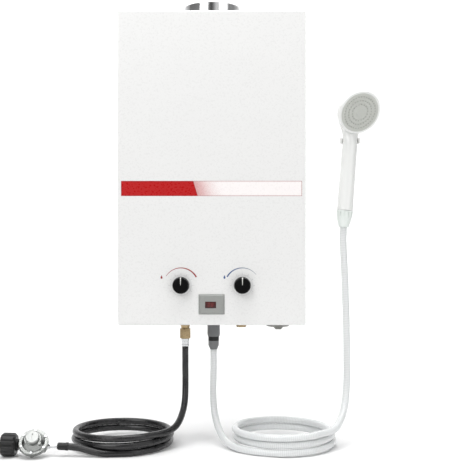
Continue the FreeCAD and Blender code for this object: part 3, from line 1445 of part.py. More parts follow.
def wall_hook():
    """Wall plate with a forked arm whose two fingers hold the handset under its head."""
    middle = handset_point(size.hook_rise)
    body = new_body("wall_hook", (middle[0], 0, middle[2]))
    half = size.hook_plate_width / 2
    shift = size.hook_plate_shift
    low = -size.hook_plate_drop - size.hook_plate_height / 2
    high = -size.hook_plate_drop + size.hook_plate_height / 2
    plate = draw(sketch_on(body, "XZ_Plane"), box_corners(shift - half, shift + half, low, high, 6))
    pad(body, plate, size.hook_plate_sheet)
    inner = size.handle_head * 1.07 + size.hook_slack
    outer = inner + size.hook_wall
    fork = size.handset_y
    heel = fork + outer + 5
    outline = [
        (shift - 9, -2), (-8, heel, 10), (-outer, fork + outer * 0.55, 8), (-outer, fork - 3, 1.5),
        (-inner, fork - 3, 1.5), (-inner, fork + inner * 0.96, inner * 0.8), (inner, fork + inner * 0.96, inner * 0.8),
        (inner, fork - 3, 1.5), (outer, fork - 3, 1.5), (outer, fork + outer * 0.55, 8), (11, heel, 10),
        (shift + 9, -2),
    ]
    arm = draw(sketch_on(body, "XY_Plane"), outline)
    pad(body, arm, size.hook_height, both_ways=True)
    for side in (-1, 1):
        height = size.hook_screw_spacing / 2 * side - size.hook_plate_drop
        cut(body, ring(sketch_on(body, "XZ_Plane"), shift, height, size.hook_screw_radius))


# Hoses


def piece_from_shape(label, shape):
    piece = doc.addObject("Part::Feature", label)
    piece.Label = label
    piece.Shape = shape
    pieces.append(piece)
    return piece


def route(points):
    """Straight runs joined by tangent arcs of 0.45 of the shorter run over the half turn's tangent."""
    edges = []
    radii = []
    start = points[0]
    for before, here, after in zip(points, points[1:], points[2:]):
        back = before - here
        on = after - here
        reach = 0.45 * min(back.Length, on.Length)
        half_turn = (math.pi - back.getAngle(on)) / 2
        radius = reach / math.tan(half_turn)
        back.normalize()
        on.normalize()
        first = here + back * reach
        last = here + on * reach
        bisector = (back + on).normalize()
        middle = here + bisector * (radius / math.cos(half_turn) - radius)
        edges.append(Part.LineSegment(start, first).toShape())
        edges.append(Part.Arc(first, middle, last).toShape())
        radii.append(radius)
        start = last
    edges.append(Part.LineSegment(start, points[-1]).toShape())
    return Part.Wire(edges), radii


def swept(label, path, diameter, notes=""):
    """A round tube of straight and turned stretches; its volume has to be section times length."""
    walls = []
    caps = []
    for edge in path.Edges:
        start = edge.valueAt(edge.FirstParameter)
        ahead = edge.tangentAt(edge.FirstParameter)
        section = Part.Circle(start, ahead, diameter / 2).toShape()
        if isinstance(edge.Curve, Part.Line):
            walls += section.extrude(edge.valueAt(edge.LastParameter) - start).Faces
        else:
            turn = math.degrees(edge.LastParameter - edge.FirstParameter)
            walls += section.revolve(edge.Curve.Center, edge.Curve.Axis, turn).Faces
    for edge, parameter in (
        (path.Edges[0], path.Edges[0].FirstParameter), (path.Edges[-1], path.Edges[-1].LastParameter),
    ):
        rim = Part.Circle(edge.valueAt(parameter), edge.tangentAt(parameter), diameter / 2).toShape()
        caps.append(Part.Face(Part.Wire([rim])))
    shell = Part.Shell(walls + caps)
    shell.sewShape()
    tube = Part.Solid(shell)
    if tube.Volume < 0:
        tube.reverse()
    wanted = math.pi * diameter ** 2 / 4 * path.Length
    if not tube.isValid() or abs(tube.Volume / wanted - 1) > 0.01:
        raise RuntimeError("%s: volume %.0f, section times length %.0f" % (label, tube.Volume, wanted))
    print("%s: length %.0f mm, volume %.4f of section times length %s" % (label, path.Length, tube.Volume / wanted, notes))
    return piece_from_shape(label, tube)


def free_tube(label, points, diameter):
    path, radii = route(points)
    swept(label, path, diameter, "radii " + " ".join("%.0f" % radius for radius in radii))


def quarter_turn(start, start_way, end, end_way):
    """Two tangent arcs that join two points with their directions."""
    chord = end - start
    a = 2 * start_way.dot(end_way) - 2
    b = -2 * chord.dot(start_way + end_way)
    c = chord.dot(chord)
    reach = (-b - math.sqrt(b * b - 4 * a * c)) / (2 * a)
    near = start + start_way * reach
    far = end - end_way * reach
    joint = (near + far) / 2
    edges = []
    for first, corner, last in ((start, near, joint), (joint, far, end)):
        middle = (first + last) / 2
        share = ((last - first).Length / 2) / reach
        edges.append(Part.Arc(first, middle + (corner - middle) * (share / (1 + share)), last).toShape())
    return edges


class Coil:
    """Loose turns lying on the floor: a helix whose radius wanders a little.

    At the angle a, in degrees, the centre line is at radius + sway sin(0.62 a + phase) from the
    middle, and it climbs one pitch a turn from the end that lies on the floor.
    """

    def __init__(self, middle, radius, pitch, diameter, begin, finish, phase):
        self.middle = middle
        self.radius = radius
        self.pitch = pitch
        self.diameter = diameter
        self.begin = begin
        self.finish = finish
        self.phase = phase
        self.sway = number(size.coil_sway)
        self.lowest = number(floor_z) + diameter / 2
        self.floor_end = begin if finish > begin else finish

    def point(self, angle):
        turn = math.radians(angle)
        reach = self.radius + self.sway * math.sin(0.62 * turn + self.phase)
        height = self.lowest + self.pitch * (angle - self.floor_end) / 360
        return self.middle + Vector(reach * math.cos(turn), reach * math.sin(turn), height)

    def way(self, angle):
        step = 0.01 if self.finish > self.begin else -0.01
        return (self.point(angle + step) - self.point(angle - step)).normalize()

    def level_way(self, angle):
        way = self.way(angle)
        return Vector(way.x, way.y, 0).normalize() if angle == self.floor_end else way

    def ends(self):
        """The two outer ends, each one diameter of straight hose beyond the turns."""
        first = self.point(self.begin) - self.level_way(self.begin) * self.diameter
        last = self.point(self.finish) + self.level_way(self.finish) * self.diameter
        return first, last

    def angles(self):
        count = math.ceil(abs(self.finish - self.begin) / 90)
        return [self.begin + (self.finish - self.begin) * i / count for i in range(count + 1)]

    def path(self):
        first, last = self.ends()
        angles = self.angles()
        edges = [Part.LineSegment(first, self.point(angles[0])).toShape()]
        for a, b in zip(angles, angles[1:]):
            edges += quarter_turn(self.point(a), self.level_way(a), self.point(b), self.level_way(b))
        edges.append(Part.LineSegment(self.point(angles[-1]), last).toShape())
        return Part.Wire(edges)

    def least_gap(self):
        """Smallest clear space between neighbouring turns, measured on points of the centre line."""
        steps = 240
        span = (self.finish - self.begin) / steps
        line = [self.point(self.begin + span * i) for i in range(steps + 1)]
        apart = math.ceil(300 / abs(span))
        nearest = min((line[i] - line[j]).Length for i in range(steps + 1) for j in range(i + apart, steps + 1))
        return nearest - self.diameter


def gas_hose():
    """From the ferrule down to the coil, three front passes, and a tail to the regulator."""
    diameter = number(size.gas_hose)
    coil = Coil(
        Vector(number(size.gas_coil_x), number(size.gas_coil_y), 0), number(size.gas_coil_radius),
        number(size.gas_coil_pitch), diameter, number(size.gas_coil_start), number(size.gas_coil_end), 0.4,
    )
    joined, left = coil.ends()
    top = number(case_bottom - size.gas_fitting_drop - size.gas_nut_height - size.gas_ferrule_height)
    x = number(size.gas_inlet_x)
    y = -number(size.works_depth)
    arrive = coil.level_way(coil.begin)
    drop = [
        Vector(x, y, top), Vector(x, y, top - 40), Vector(-54, -65.4, -688), Vector(-54.8, -84.3, -723.4),
        Vector(-65.1, -127.9, -751.1), joined - arrive * 28.3, joined,
    ]
    free_tube("gas_hose_drop", drop, diameter)
    swept("gas_hose_coil", coil.path(), diameter, "least gap %.2f mm" % coil.least_gap())
    leave = coil.level_way(coil.finish)
    end = Vector(*[number(c) for c in line_point(0)])
    near = left + leave * 24
    far = end - line_direction() * 24
    tail = [left, near, (near + far) / 2 + Vector(0, -1, -0.8), far, end]
    free_tube("gas_hose_tail", tail, diameter)


def shower_hose():
    """From the coupler down to the floor, three front passes, and a riser to the handset."""
    diameter = number(size.shower_hose)
    coil = Coil(
        Vector(number(size.shower_coil_x), number(size.shower_coil_y), 0), number(size.shower_coil_radius),
        number(size.shower_coil_pitch), diameter, number(size.shower_coil_start), number(size.shower_coil_end), 2.0,
    )
    joined, left = coil.ends()
    low = coil.lowest
    arrive = coil.level_way(coil.begin)
    drop = [
        Vector(number(size.hot_outlet_x), -number(size.works_depth), number(sleeve_foot())),
        Vector(3, -65, -654.9), Vector(1.6, -66, -698.9), Vector(4, -77.1, -736), Vector(13, -100.9, -764.9),
        Vector(27, -135.9, -783), Vector(49.1, -167.8, -786.9), Vector(71.7, -184.7, low),
        joined - arrive * 15.5, joined,
    ]
    free_tube("shower_hose_drop", drop, diameter)
    swept("shower_hose_coil", coil.path(), diameter, "least gap %.2f mm" % coil.least_gap())
    leave = coil.level_way(coil.finish)
    foot = Vector(*[number(c) for c in handset_point(-size.swivel_height)])
    down = handset_turn().multVec(Vector(0, 0, -1))
    riser = [
        left, left + leave * 21.9, Vector(246.1, -139.9, -749.2), Vector(263.2, -107.6, -725.1),
        Vector(271.2, -83, -675.1), Vector(271.2, -81, -620), Vector(270.6, -79, -562),
        Vector(269, -77.4, -504), Vector(267, -76, -446), Vector(265, -75, -406), foot + down * 20, foot,
    ]
    free_tube("shower_hose_riser", riser, diameter)


for build in (
    back_panel, front_cover, cover_screws, bottom_plate, flue_collar, exhaust_hood, heat_exchanger,
    cold_feed_pipe, hot_return_pipe, burner_tray, burner_blades, gas_manifold, ignition_electrodes,
    igniter_box, valve_bodies, spindles_and_knobs, gas_solenoid, diaphragm_cover, microswitch,
    display_bezel, display_window, display_board, gas_inlet_fitting, gas_flare_nut, gas_ferrule,
    cold_water_inlet, drain_plug, hot_water_outlet, outlet_coupler, coupler_ring, hose_tail_sleeve,
    battery_tube, battery_cells, battery_contact, battery_cap, gas_tail_ferrule, regulator_outlet,
    regulator_body, regulator_bonnet, regulator_cap, regulator_screws, tank_stem, tank_nut,
    handset_shell, handset_rim, handset_face, handset_nut, wall_hook,
    gas_hose, shower_hose,
):
    build()

doc.recompute()
for thing in doc.Objects:
    if "Invalid" in thing.State or "Error" in thing.State:
        raise RuntimeError("%s is not built: %s" % (thing.Label, thing.State))
for piece in pieces:
    if piece.Shape.isNull() or not piece.Shape.isValid():
        raise RuntimeError("%s has no valid shape" % piece.Label)

os.makedirs("parts", exist_ok=True)
for piece in pieces:
    piece.Shape.exportStep("parts/%s.step" % piece.Label)
print("%d pieces" % len(pieces))
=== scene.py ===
"""Wall-hung propane water heater: hoses, enamel, metals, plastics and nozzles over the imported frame."""
import bpy
import math
import numpy as np
from bpy.props import FloatProperty, FloatVectorProperty, IntProperty, PointerProperty
from mathutils import Matrix, Vector


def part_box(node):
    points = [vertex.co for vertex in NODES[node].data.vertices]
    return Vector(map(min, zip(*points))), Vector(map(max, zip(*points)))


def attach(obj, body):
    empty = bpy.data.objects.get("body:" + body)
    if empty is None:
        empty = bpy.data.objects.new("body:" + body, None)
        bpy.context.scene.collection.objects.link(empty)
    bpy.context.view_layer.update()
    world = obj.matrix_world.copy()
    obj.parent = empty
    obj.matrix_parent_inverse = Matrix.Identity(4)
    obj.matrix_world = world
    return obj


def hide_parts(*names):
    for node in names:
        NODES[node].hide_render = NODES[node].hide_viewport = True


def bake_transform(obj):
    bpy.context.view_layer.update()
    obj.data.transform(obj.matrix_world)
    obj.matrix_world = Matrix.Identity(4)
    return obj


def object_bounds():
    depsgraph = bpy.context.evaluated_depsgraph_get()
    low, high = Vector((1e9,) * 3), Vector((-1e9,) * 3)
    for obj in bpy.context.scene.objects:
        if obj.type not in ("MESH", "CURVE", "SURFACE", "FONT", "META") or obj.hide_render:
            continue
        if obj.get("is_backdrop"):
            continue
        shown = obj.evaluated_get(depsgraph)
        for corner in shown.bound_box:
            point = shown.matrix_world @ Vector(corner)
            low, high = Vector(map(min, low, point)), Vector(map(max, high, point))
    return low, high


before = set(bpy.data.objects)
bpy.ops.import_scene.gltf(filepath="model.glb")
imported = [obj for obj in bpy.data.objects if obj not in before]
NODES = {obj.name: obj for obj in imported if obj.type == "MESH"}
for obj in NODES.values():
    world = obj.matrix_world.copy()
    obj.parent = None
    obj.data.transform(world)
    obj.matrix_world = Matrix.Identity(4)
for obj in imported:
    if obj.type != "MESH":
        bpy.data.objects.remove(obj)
CAD_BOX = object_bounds()

# Heights and distances on the solids, in millimetres.
FLOOR = -794.0
FRONT_FACE = 129.6
KNOB_ASIDE = 60.0
KNOB_HEIGHT = -478.0
SCALE_RADIUS = 34

# In metres: level with the photo's own viewpoint.
CAMERA_PLACE = (0.0281, -1.791, -0.3787)

bl_info = {
    "name": "Portable water heater",
    "version": (1, 0, 0),
    "blender": (4, 5, 0),
    "location": "3D View > Sidebar > Heater",
    "description": "Dresses the packed water heater with hoses, finishes and small parts",
    "category": "Object",
}


def shade(red, green, blue):
    """A screen colour from 0 to 255 as a linear colour."""
    parts = [part / 255 for part in (red, green, blue)]
    return tuple(p / 12.92 if p < 0.04045 else ((p + 0.055) / 1.055) ** 2.4 for p in parts)


def colour_property(name, description, default):
    return FloatVectorProperty(name=name, description=description, default=default, subtype="COLOR", min=0,
                               max=1)


def length_property(name, description, default, low, high):
    return FloatProperty(name=name, description=description, default=default, min=low, max=high,
                         unit="LENGTH")


def power_property(name, description, default):
    return FloatProperty(name=name, description=description, default=default, min=0, unit="POWER")


class HoseSettings(bpy.types.PropertyGroup):
    gas_diameter: length_property("Gas hose", "Diameter of the gas hose", 0.013, 0.008, 0.02)
    gas_length: length_property("Gas hose length", "From the ferrule to the regulator", 1.588, 1, 3)
    gas_pitch: length_property("Braid pitch", "Length of one crossing of the gas hose's braid", 0.0042,
                               0.002, 0.02)
    gas_colour: colour_property("Gas hose colour", "Rubber of the gas hose", shade(12, 12, 14))
    shower_diameter: length_property("Shower hose", "Diameter of the shower hose", 0.0135, 0.008, 0.02)
    shower_length: length_property("Shower hose length", "From the coupler to the handset", 2.082, 1, 3)
    shower_pitch: length_property("Rib pitch", "Length of one rib of the shower hose", 0.0034, 0.002, 0.02)
    shower_colour: colour_property("Shower hose colour", "Vinyl of the shower hose", shade(229, 231, 231))


class CaseSettings(bpy.types.PropertyGroup):
    enamel: colour_property("Enamel", "Baked enamel of the cover", shade(233, 233, 232))
    band: colour_property("Band", "Filled part of the band", shade(184, 20, 22))
    band_edge: colour_property("Band edge", "Outline of the band", shade(150, 32, 40))
    band_top: length_property("Band top", "Upper edge of the band", -0.274, -0.5, 0)
    band_foot: length_property("Band foot", "Lower edge of the band", -0.3035, -0.5, 0)
    hot: colour_property("Hot scale", "Scale round the gas knob", shade(150, 38, 42))
    cold: colour_property("Cold scale", "Scale round the water knob", shade(36, 76, 132))


class HandsetSettings(bpy.types.PropertyGroup):
    shell: colour_property("Shell", "Plastic of the handset", shade(236, 237, 235))
    face: colour_property("Face", "Spray plate", shade(196, 198, 192))
    nozzle_radius: length_property("Nozzle", "Radius of a nozzle's foot", 0.0013, 0.0005, 0.003)
    nozzle_height: length_property("Nozzle height", "Height of a nozzle", 0.0013, 0.0005, 0.003)
    outer_nozzles: IntProperty(name="Nozzles", description="Nozzles in the outer ring", default=36, min=6,
                               max=60)


class StageSettings(bpy.types.PropertyGroup):
    key: power_property("Key light", "Power of the key light", 32)
    fill: power_property("Fill light", "Power of the fill light", 11)
    backdrop: power_property("Backdrop light", "Power of the backdrop's light", 44)
    sky: FloatProperty(name="Sky", description="Strength of the surrounding light", default=0.5, min=0)
    lens: FloatProperty(name="Lens", description="Focal length", default=65.25, min=20, unit="CAMERA")


class Value:
    """A number that varies over a surface. Its operators add Math nodes."""

    def __init__(self, graph, socket):
        self.graph = graph
        self.socket = socket

    def math(self, operation, *others, clamp=False):
        settings = {"operation": operation, "use_clamp": clamp}
        node = self.graph.node("ShaderNodeMath", settings, dict(enumerate((self, *others))))
        return Value(self.graph, node.outputs[0])

    def reverse(self, operation, other):
        settings = {"operation": operation}
        return Value(self.graph, self.graph.node("ShaderNodeMath", settings, {0: other, 1: self}).outputs[0])

    def __add__(self, other):
        return self.math("ADD", other)

    def __sub__(self, other):
        return self.math("SUBTRACT", other)

    def __mul__(self, other):
        return self.math("MULTIPLY", other)

    def __truediv__(self, other):
        return self.math("DIVIDE", other)

    def __rsub__(self, other):
        return self.reverse("SUBTRACT", other)

    def __neg__(self):
        return self * -1

    def __abs__(self):
        return self.math("ABSOLUTE")

    __radd__ = __add__
    __rmul__ = __mul__

    def over(self, edge, soft=0.3):
        """One where the number is past the edge, nought before it, and a slope of the given width between."""
        return ((self - edge) / soft).math("ADD", 0.5, clamp=True)

    def under(self, edge, soft=0.3):
        return 1 - self.over(edge, soft)

    def wave(self):
        return (self * math.tau).math("SINE")


class Graph:
    """The nodes of one material. Places are the object's own, in millimetres."""

    def __init__(self, name):
        self.material = bpy.data.materials.new(name)
        self.material.use_nodes = True
        self.tree = self.material.node_tree
        self.tree.nodes.clear()
        self.shader = self.node("ShaderNodeBsdfPrincipled")
        self.node("ShaderNodeOutputMaterial", inputs={"Surface": self.shader.outputs[0]})
        self.coords = self.node("ShaderNodeTexCoord")
        self.place = self.coords.outputs["Object"]

    def node(self, kind, settings=None, inputs=None):
        """A node of this type, with its settings first and then the values or links of its sockets."""
        node = self.tree.nodes.new(kind)
        for name, value in (settings or {}).items():
            setattr(node, name, value)
        for name, value in (inputs or {}).items():
            value = value.socket if isinstance(value, Value) else value
            if isinstance(value, bpy.types.NodeSocket):
                self.tree.links.new(value, node.inputs[name])
            else:
                node.inputs[name].default_value = value
        return node

    def axes(self, source=None, scale=1000):
        parts = self.node("ShaderNodeSeparateXYZ", inputs={0: source or self.place})
        return [Value(self, parts.outputs[i]) * scale for i in range(3)]

    def stretched(self, scale):
        return self.node("ShaderNodeMapping", inputs={"Vector": self.place, "Scale": scale}).outputs[0]

    def noise(self, scale, detail=3, rough=0.55, source=None):
        inputs = {"Vector": source or self.place, "Scale": scale, "Detail": detail, "Roughness": rough}
        return Value(self, self.node("ShaderNodeTexNoise", inputs=inputs).outputs[0])

    def cells(self, scale):
        """Distance from the nearest of scattered points, and a grey of each point's own."""
        node = self.node("ShaderNodeTexVoronoi", inputs={"Vector": self.place, "Scale": scale})
        tint = self.node("ShaderNodeSeparateColor", inputs={0: node.outputs["Color"]})
        return Value(self, node.outputs["Distance"]), Value(self, tint.outputs[0])

    def mix(self, factor, first, second):
        inputs = {0: factor}
        for index, colour in ((6, first), (7, second)):
            inputs[index] = colour if isinstance(colour, bpy.types.NodeSocket) else (*colour[:3], 1)
        return self.node("ShaderNodeMix", {"data_type": "RGBA"}, inputs).outputs[2]

    def finish(self, colour, rough, relief=None, lighter_upward=0.0001, **fixed):
        """Fills the shader: colour and roughness may vary, relief is a height from 0 to 1."""
        varied = {"Base Color": colour, "Roughness": rough}
        if relief is not None:
            bump = self.node("ShaderNodeBump", inputs={"Strength": 1.0, "Distance": lighter_upward, "Height": relief})
            varied["Normal"] = bump.outputs[0]
        for name, value in varied.items():
            value = value.socket if isinstance(value, Value) else value
            if isinstance(value, bpy.types.NodeSocket):
                self.tree.links.new(value, self.shader.inputs[name])
            else:
                self.shader.inputs[name].default_value = (*value[:3], 1) if name == "Base Color" else value
        for name, value in fixed.items():
            socket = {"specular": "Specular IOR Level"}.get(name, name.replace("_", " ").title())
            self.shader.inputs[socket].default_value = value
        return self.material


def dress(material, *names):
    for name in names:
        for place in NODES[name].material_slots:
            place.material = material


def add_piece(name, points, faces, material, body=None, corners=None):
    """A smooth piece from an array of points in metres and lists of corner numbers."""
    mesh = bpy.data.meshes.new(name)
    mesh.from_pydata(points.tolist(), [], [list(face) for face in faces])
    mesh.polygons.foreach_set("use_smooth", np.ones(len(mesh.polygons), dtype=bool))
    if corners is not None:
        mesh.uv_layers.new(name="Along").data.foreach_set("uv", np.asarray(corners, dtype=np.float32).ravel())
    mesh.materials.append(material)
    mesh.update()
    thing = bpy.data.objects.new(name, mesh)
    bpy.context.scene.collection.objects.link(thing)
    if body:
        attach(thing, body)
    return thing


def ring_faces(rings, sides):
    """Four-cornered faces of a grid of rings that close on themselves, ordered to face outwards."""
    row, column = np.meshgrid(np.arange(rings - 1), np.arange(sides), indexing="ij")
    across = (column + 1) % sides
    this, following = row * sides, (row + 1) * sides
    faces = np.stack([this + column, this + across, following + across, following + column], -1)
    return faces.reshape(-1, 4), row, column


def read_line(name, points):
    """The quadratic NURBS spline with these control points, read back as points along it."""
    curve = bpy.data.curves.new(name, "CURVE")
    curve.dimensions = "3D"
    curve.resolution_u = 14
    spline = curve.splines.new("NURBS")
    spline.points.add(len(points) - 1)
    spline.points.foreach_set("co", np.c_[points, np.ones(len(points))].astype(np.float32).ravel())
    spline.order_u = 3
    spline.use_endpoint_u = True
    holder = bpy.data.objects.new(name, curve)
    bpy.context.scene.collection.objects.link(holder)
    mesh = bpy.data.meshes.new_from_object(holder)
    line = np.empty(len(mesh.vertices) * 3)
    mesh.vertices.foreach_get("co", line)
    bpy.data.objects.remove(holder)
    bpy.data.curves.remove(curve)
    bpy.data.meshes.remove(mesh)
    line = line.reshape(-1, 3)
    keep = np.r_[True, np.linalg.norm(np.diff(line, axis=0), axis=1) > 1e-6]
    return line[keep]


def tube(name, line, diameter, material, sides=28):
    """A tube: P(s, a) = line(s) + r (N(s) cos a + B(s) sin a), with N carried along the line untwisted."""
    steps = np.diff(line, axis=0)
    way = np.vstack([steps[:1], steps[:-1] + steps[1:], steps[-1:]])
    way /= np.linalg.norm(way, axis=1)[:, None]
    side = np.empty_like(line)
    carried = np.array([1.0, 0.3, 0.2])
    for i, forward in enumerate(way):
        carried = carried - forward * carried.dot(forward)
        carried /= np.linalg.norm(carried)
        side[i] = carried
    third = np.cross(way, side)
    angle = np.arange(sides) * math.tau / sides
    wide = side[:, None] * np.cos(angle)[:, None] + third[:, None] * np.sin(angle)[:, None]
    points = (line[:, None] + wide * diameter / 2).reshape(-1, 3)
    faces, row, column = ring_faces(len(line), sides)
    along = np.r_[0, np.cumsum(np.linalg.norm(steps, axis=1))]
    low, high = along[row] / along[-1], along[row + 1] / along[-1]
    left, right = column / sides, (column + 1) / sides
    corners = np.stack([low, left, low, right, high, right, high, left], -1).reshape(-1, 2)
    caps = [list(range(sides))[::-1], list(range((len(line) - 1) * sides, len(line) * sides))]
    corners = np.vstack([corners, np.zeros((2 * sides, 2))])
    return add_piece(name, points, faces.tolist() + caps, material, corners=corners)


# Coils on the floor: millimetres, and degrees for the angles.
GAS_COIL = {"middle": (-175, -110), "radius": 93.5, "pitch": 13.5, "diameter": 13.0,
            "begin": -52, "finish": -804, "phase": 0.4}
SHOWER_COIL = {"middle": (142.4, -110), "radius": 95, "pitch": 14, "diameter": 13.5,
               "begin": -108, "finish": 672, "phase": 2.0}
COIL_STEP = 30
SWAY = 1.2
SWAY_RATE = 0.62


def coil_points(middle, radius, pitch, diameter, begin, finish, phase):
    """Control points of loose turns: at the angle a the line is at radius + SWAY sin(SWAY_RATE a + phase)."""
    span = finish - begin
    count = math.ceil(abs(span) / COIL_STEP)
    angles = np.r_[begin, begin + (np.arange(count) + 0.5) * span / count, finish]
    turn = np.radians(angles)
    reach = radius + SWAY * np.sin(SWAY_RATE * turn + phase)
    reach[1:-1] /= math.cos(math.radians(span / count / 2))
    height = FLOOR + diameter / 2 + pitch * (angles - min(begin, finish)) / 360
    return np.stack([middle[0] + reach * np.cos(turn), middle[1] + reach * np.sin(turn), height], -1)


def coil_ends(points, coil):
    """The outer ends, one diameter of straight hose beyond the turns, and the ways at both."""
    begin, finish, diameter = coil["begin"], coil["finish"], coil["diameter"]
    found = []
    sign = 1 if finish > begin else -1
    for point, angle, out in ((points[0], begin, -1), (points[-1], finish, 1)):
        turn = math.radians(angle)
        way = np.array([-math.sin(turn), math.cos(turn), 0]) * sign
        found += [point + way * out * diameter, way]
    return found


HANDLE_UP = Matrix.Rotation(math.radians(4.3), 3, "Y") @ Matrix.Rotation(math.radians(22), 3, "Z")
HEAD_TURN = HANDLE_UP @ Matrix.Rotation(math.radians(90 + 26), 3, "X")
HANDLE_FOOT = Vector((0.268, -0.075, -0.330))


def handset_point(along, forward=0.0):
    """A point of the handset, in metres from the foot of its handle."""
    return HANDLE_FOOT + HANDLE_UP @ Vector((0, -forward, along))


class HEATER_OT_stage(bpy.types.Operator):
    """Floor, backdrop, soft lights and the camera"""
    bl_idname = "heater.stage"
    bl_label = "Stage"

    def execute(self, context):
        look = context.scene.heater_stage
        steps = np.linspace(0, 1, 25)
        bend = np.stack([1.1 + 0.9 * np.sin(steps * math.pi / 2), 0.9 - 0.9 * np.cos(steps * math.pi / 2)],
                        -1)
        profile = np.vstack([[(-9, 0)], bend, [(2.0, 6.0)]])
        across = np.array([-9.0, 9.0])
        points = np.stack([
            np.repeat(across[None], len(profile), 0), np.repeat(profile[:, :1], 2, 1),
            np.repeat(profile[:, 1:], 2, 1) + FLOOR / 1000 - 0.0002,
        ], -1).reshape(-1, 3)
        faces = [(2 * i, 2 * i + 1, 2 * i + 3, 2 * i + 2) for i in range(len(profile) - 1)]
        paper = Graph("backdrop_paper")
        grain = paper.noise(3, 4)
        sheet = paper.mix(grain, (0.90, 0.90, 0.90), (0.93, 0.93, 0.93))
        paper.finish(sheet, 0.85 + grain * 0.1, paper.noise(900), 0.00005)
        add_piece("backdrop", points, faces, paper.material)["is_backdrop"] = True
        world = bpy.data.worlds.new("studio")
        context.scene.world = world
        world.use_nodes = True
        tree = world.node_tree
        tree.nodes.clear()
        coords = tree.nodes.new("ShaderNodeTexCoord")
        parts = tree.nodes.new("ShaderNodeSeparateXYZ")
        ramp = tree.nodes.new("ShaderNodeValToRGB")
        spread = tree.nodes.new("ShaderNodeMapRange")
        spread.inputs["From Min"].default_value = -1
        background = tree.nodes.new("ShaderNodeBackground")
        background.inputs["Strength"].default_value = look.sky
        plain = tree.nodes.new("ShaderNodeBackground")
        plain.inputs[0].default_value = (0.86, 0.86, 0.87, 1)
        seen = tree.nodes.new("ShaderNodeLightPath")
        either = tree.nodes.new("ShaderNodeMixShader")
        output = tree.nodes.new("ShaderNodeOutputWorld")
        stops = [(0.0, 0.35), (0.17, 0.5), (0.25, 1.5), (0.36, 1.3), (0.42, 0.2), (0.5, 0.14),
                 (0.56, 0.5), (0.66, 1.4), (0.8, 0.9), (0.88, 0.3), (1.0, 0.6)]
        for index, (place, grey) in enumerate(stops):
            if index > 1:
                ramp.color_ramp.elements.new(place)
            ramp.color_ramp.elements[index].position = place
            ramp.color_ramp.elements[index].color = (grey, grey, grey, 1)
        links = ((coords.outputs["Generated"], parts.inputs[0]), (parts.outputs[0], spread.inputs["Value"]),
                 (spread.outputs[0], ramp.inputs[0]), (ramp.outputs[0], background.inputs[0]),
                 (seen.outputs["Is Camera Ray"], either.inputs[0]), (background.outputs[0], either.inputs[1]),
                 (plain.outputs[0], either.inputs[2]), (either.outputs[0], output.inputs[0]))
        for source, target in links:
            tree.links.new(source, target)
        heater, backdrop = Vector((0, -0.07, -0.35)), Vector((0, 2.0, -0.3))
        lamps = (("key", (-1.5, -2.4, 1.3), heater, 1.6, look.key),
                 ("fill", (2.0, -1.9, 0.4), heater, 1.8, look.fill),
                 ("top", (0.0, -0.5, 1.9), heater, 1.2, look.fill * 1.7),
                 ("backdrop_lamp", (0, 0.25, 1.7), backdrop, 2.4, look.backdrop))
        for name, place, aim, size, power in lamps:
            lamp = bpy.data.lights.new(name, "AREA")
            lamp.size = size
            lamp.energy = power
            holder = bpy.data.objects.new(name, lamp)
            holder.location = place
            holder.rotation_euler = (aim - Vector(place)).to_track_quat("-Z", "Y").to_euler()
            context.scene.collection.objects.link(holder)
        camera = bpy.data.cameras.new("camera")
        camera.lens = look.lens
        camera.sensor_width = 36
        camera.clip_end = 60
        holder = bpy.data.objects.new("camera", camera)
        holder.location = CAMERA_PLACE
        holder.rotation_euler = (math.pi / 2, 0, 0)
        context.scene.collection.objects.link(holder)
        context.scene.camera = holder
        context.scene.view_settings.view_transform = "Standard"
        return {"FINISHED"}


class HEATER_OT_gas_hose(bpy.types.Operator):
    """Braided rubber hose from the gas inlet, coiled on the floor, to the regulator"""
    bl_idname = "heater.gas_hose"
    bl_label = "Gas hose"

    def execute(self, context):
        look = context.scene.heater_hoses
        coil = coil_points(**GAS_COIL)
        joined, arrive, left, leave = coil_ends(coil, GAS_COIL)
        rise = math.radians(2)
        way = np.array([-math.cos(rise), 0, math.sin(rise)])
        end = np.array([-275.0, -198.0, -775.8])
        near = left + leave * 24
        far = end - way * 24
        drop = [(-54.5, -65, -605), (-54.5, -65, -645), (-54, -65.4, -688),
                (-54.8, -84.3, -723.4), (-65.1, -127.9, -751.1)]
        sag = (near + far) / 2 + (0, -1, -0.8)
        route = np.vstack([drop, joined - arrive * 28.3, coil, left, near, sag, far, end])
        g = Graph("gas_hose_rubber")
        u, v, _ = g.axes(g.coords.outputs["UV"], 1)
        turns = look.gas_length / look.gas_pitch
        braid = (u * turns + v * 8).wave() * (u * turns - v * 8).wave()
        weave_and_hollow_shade = braid * 0.5 + 0.5
        dust = g.noise(45, 5).over(0.56, 0.3)
        # The braid's hollows are painted darker and its crests lighter: painted shade that follows the
        # weave's relief, which also drives the bump and roughness.
        base = g.mix(weave_and_hollow_shade * 0.7, tuple(look.gas_colour), tuple(c * 1.8 for c in look.gas_colour))
        base = g.mix(dust * 0.05, base, shade(96, 94, 90))
        g.finish(base, 0.26 + dust * 0.12 - weave_and_hollow_shade * 0.04, weave_and_hollow_shade + g.noise(900) * 0.2, 0.00012, specular=0.6)
        hose = tube("gas_hose", read_line("gas_line", route / 1000), look.gas_diameter, g.material)
        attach(hose, "heater")
        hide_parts("gas_hose_drop", "gas_hose_coil", "gas_hose_tail")
        read_line("gas_line", route / 1000)
        return {"FINISHED"}


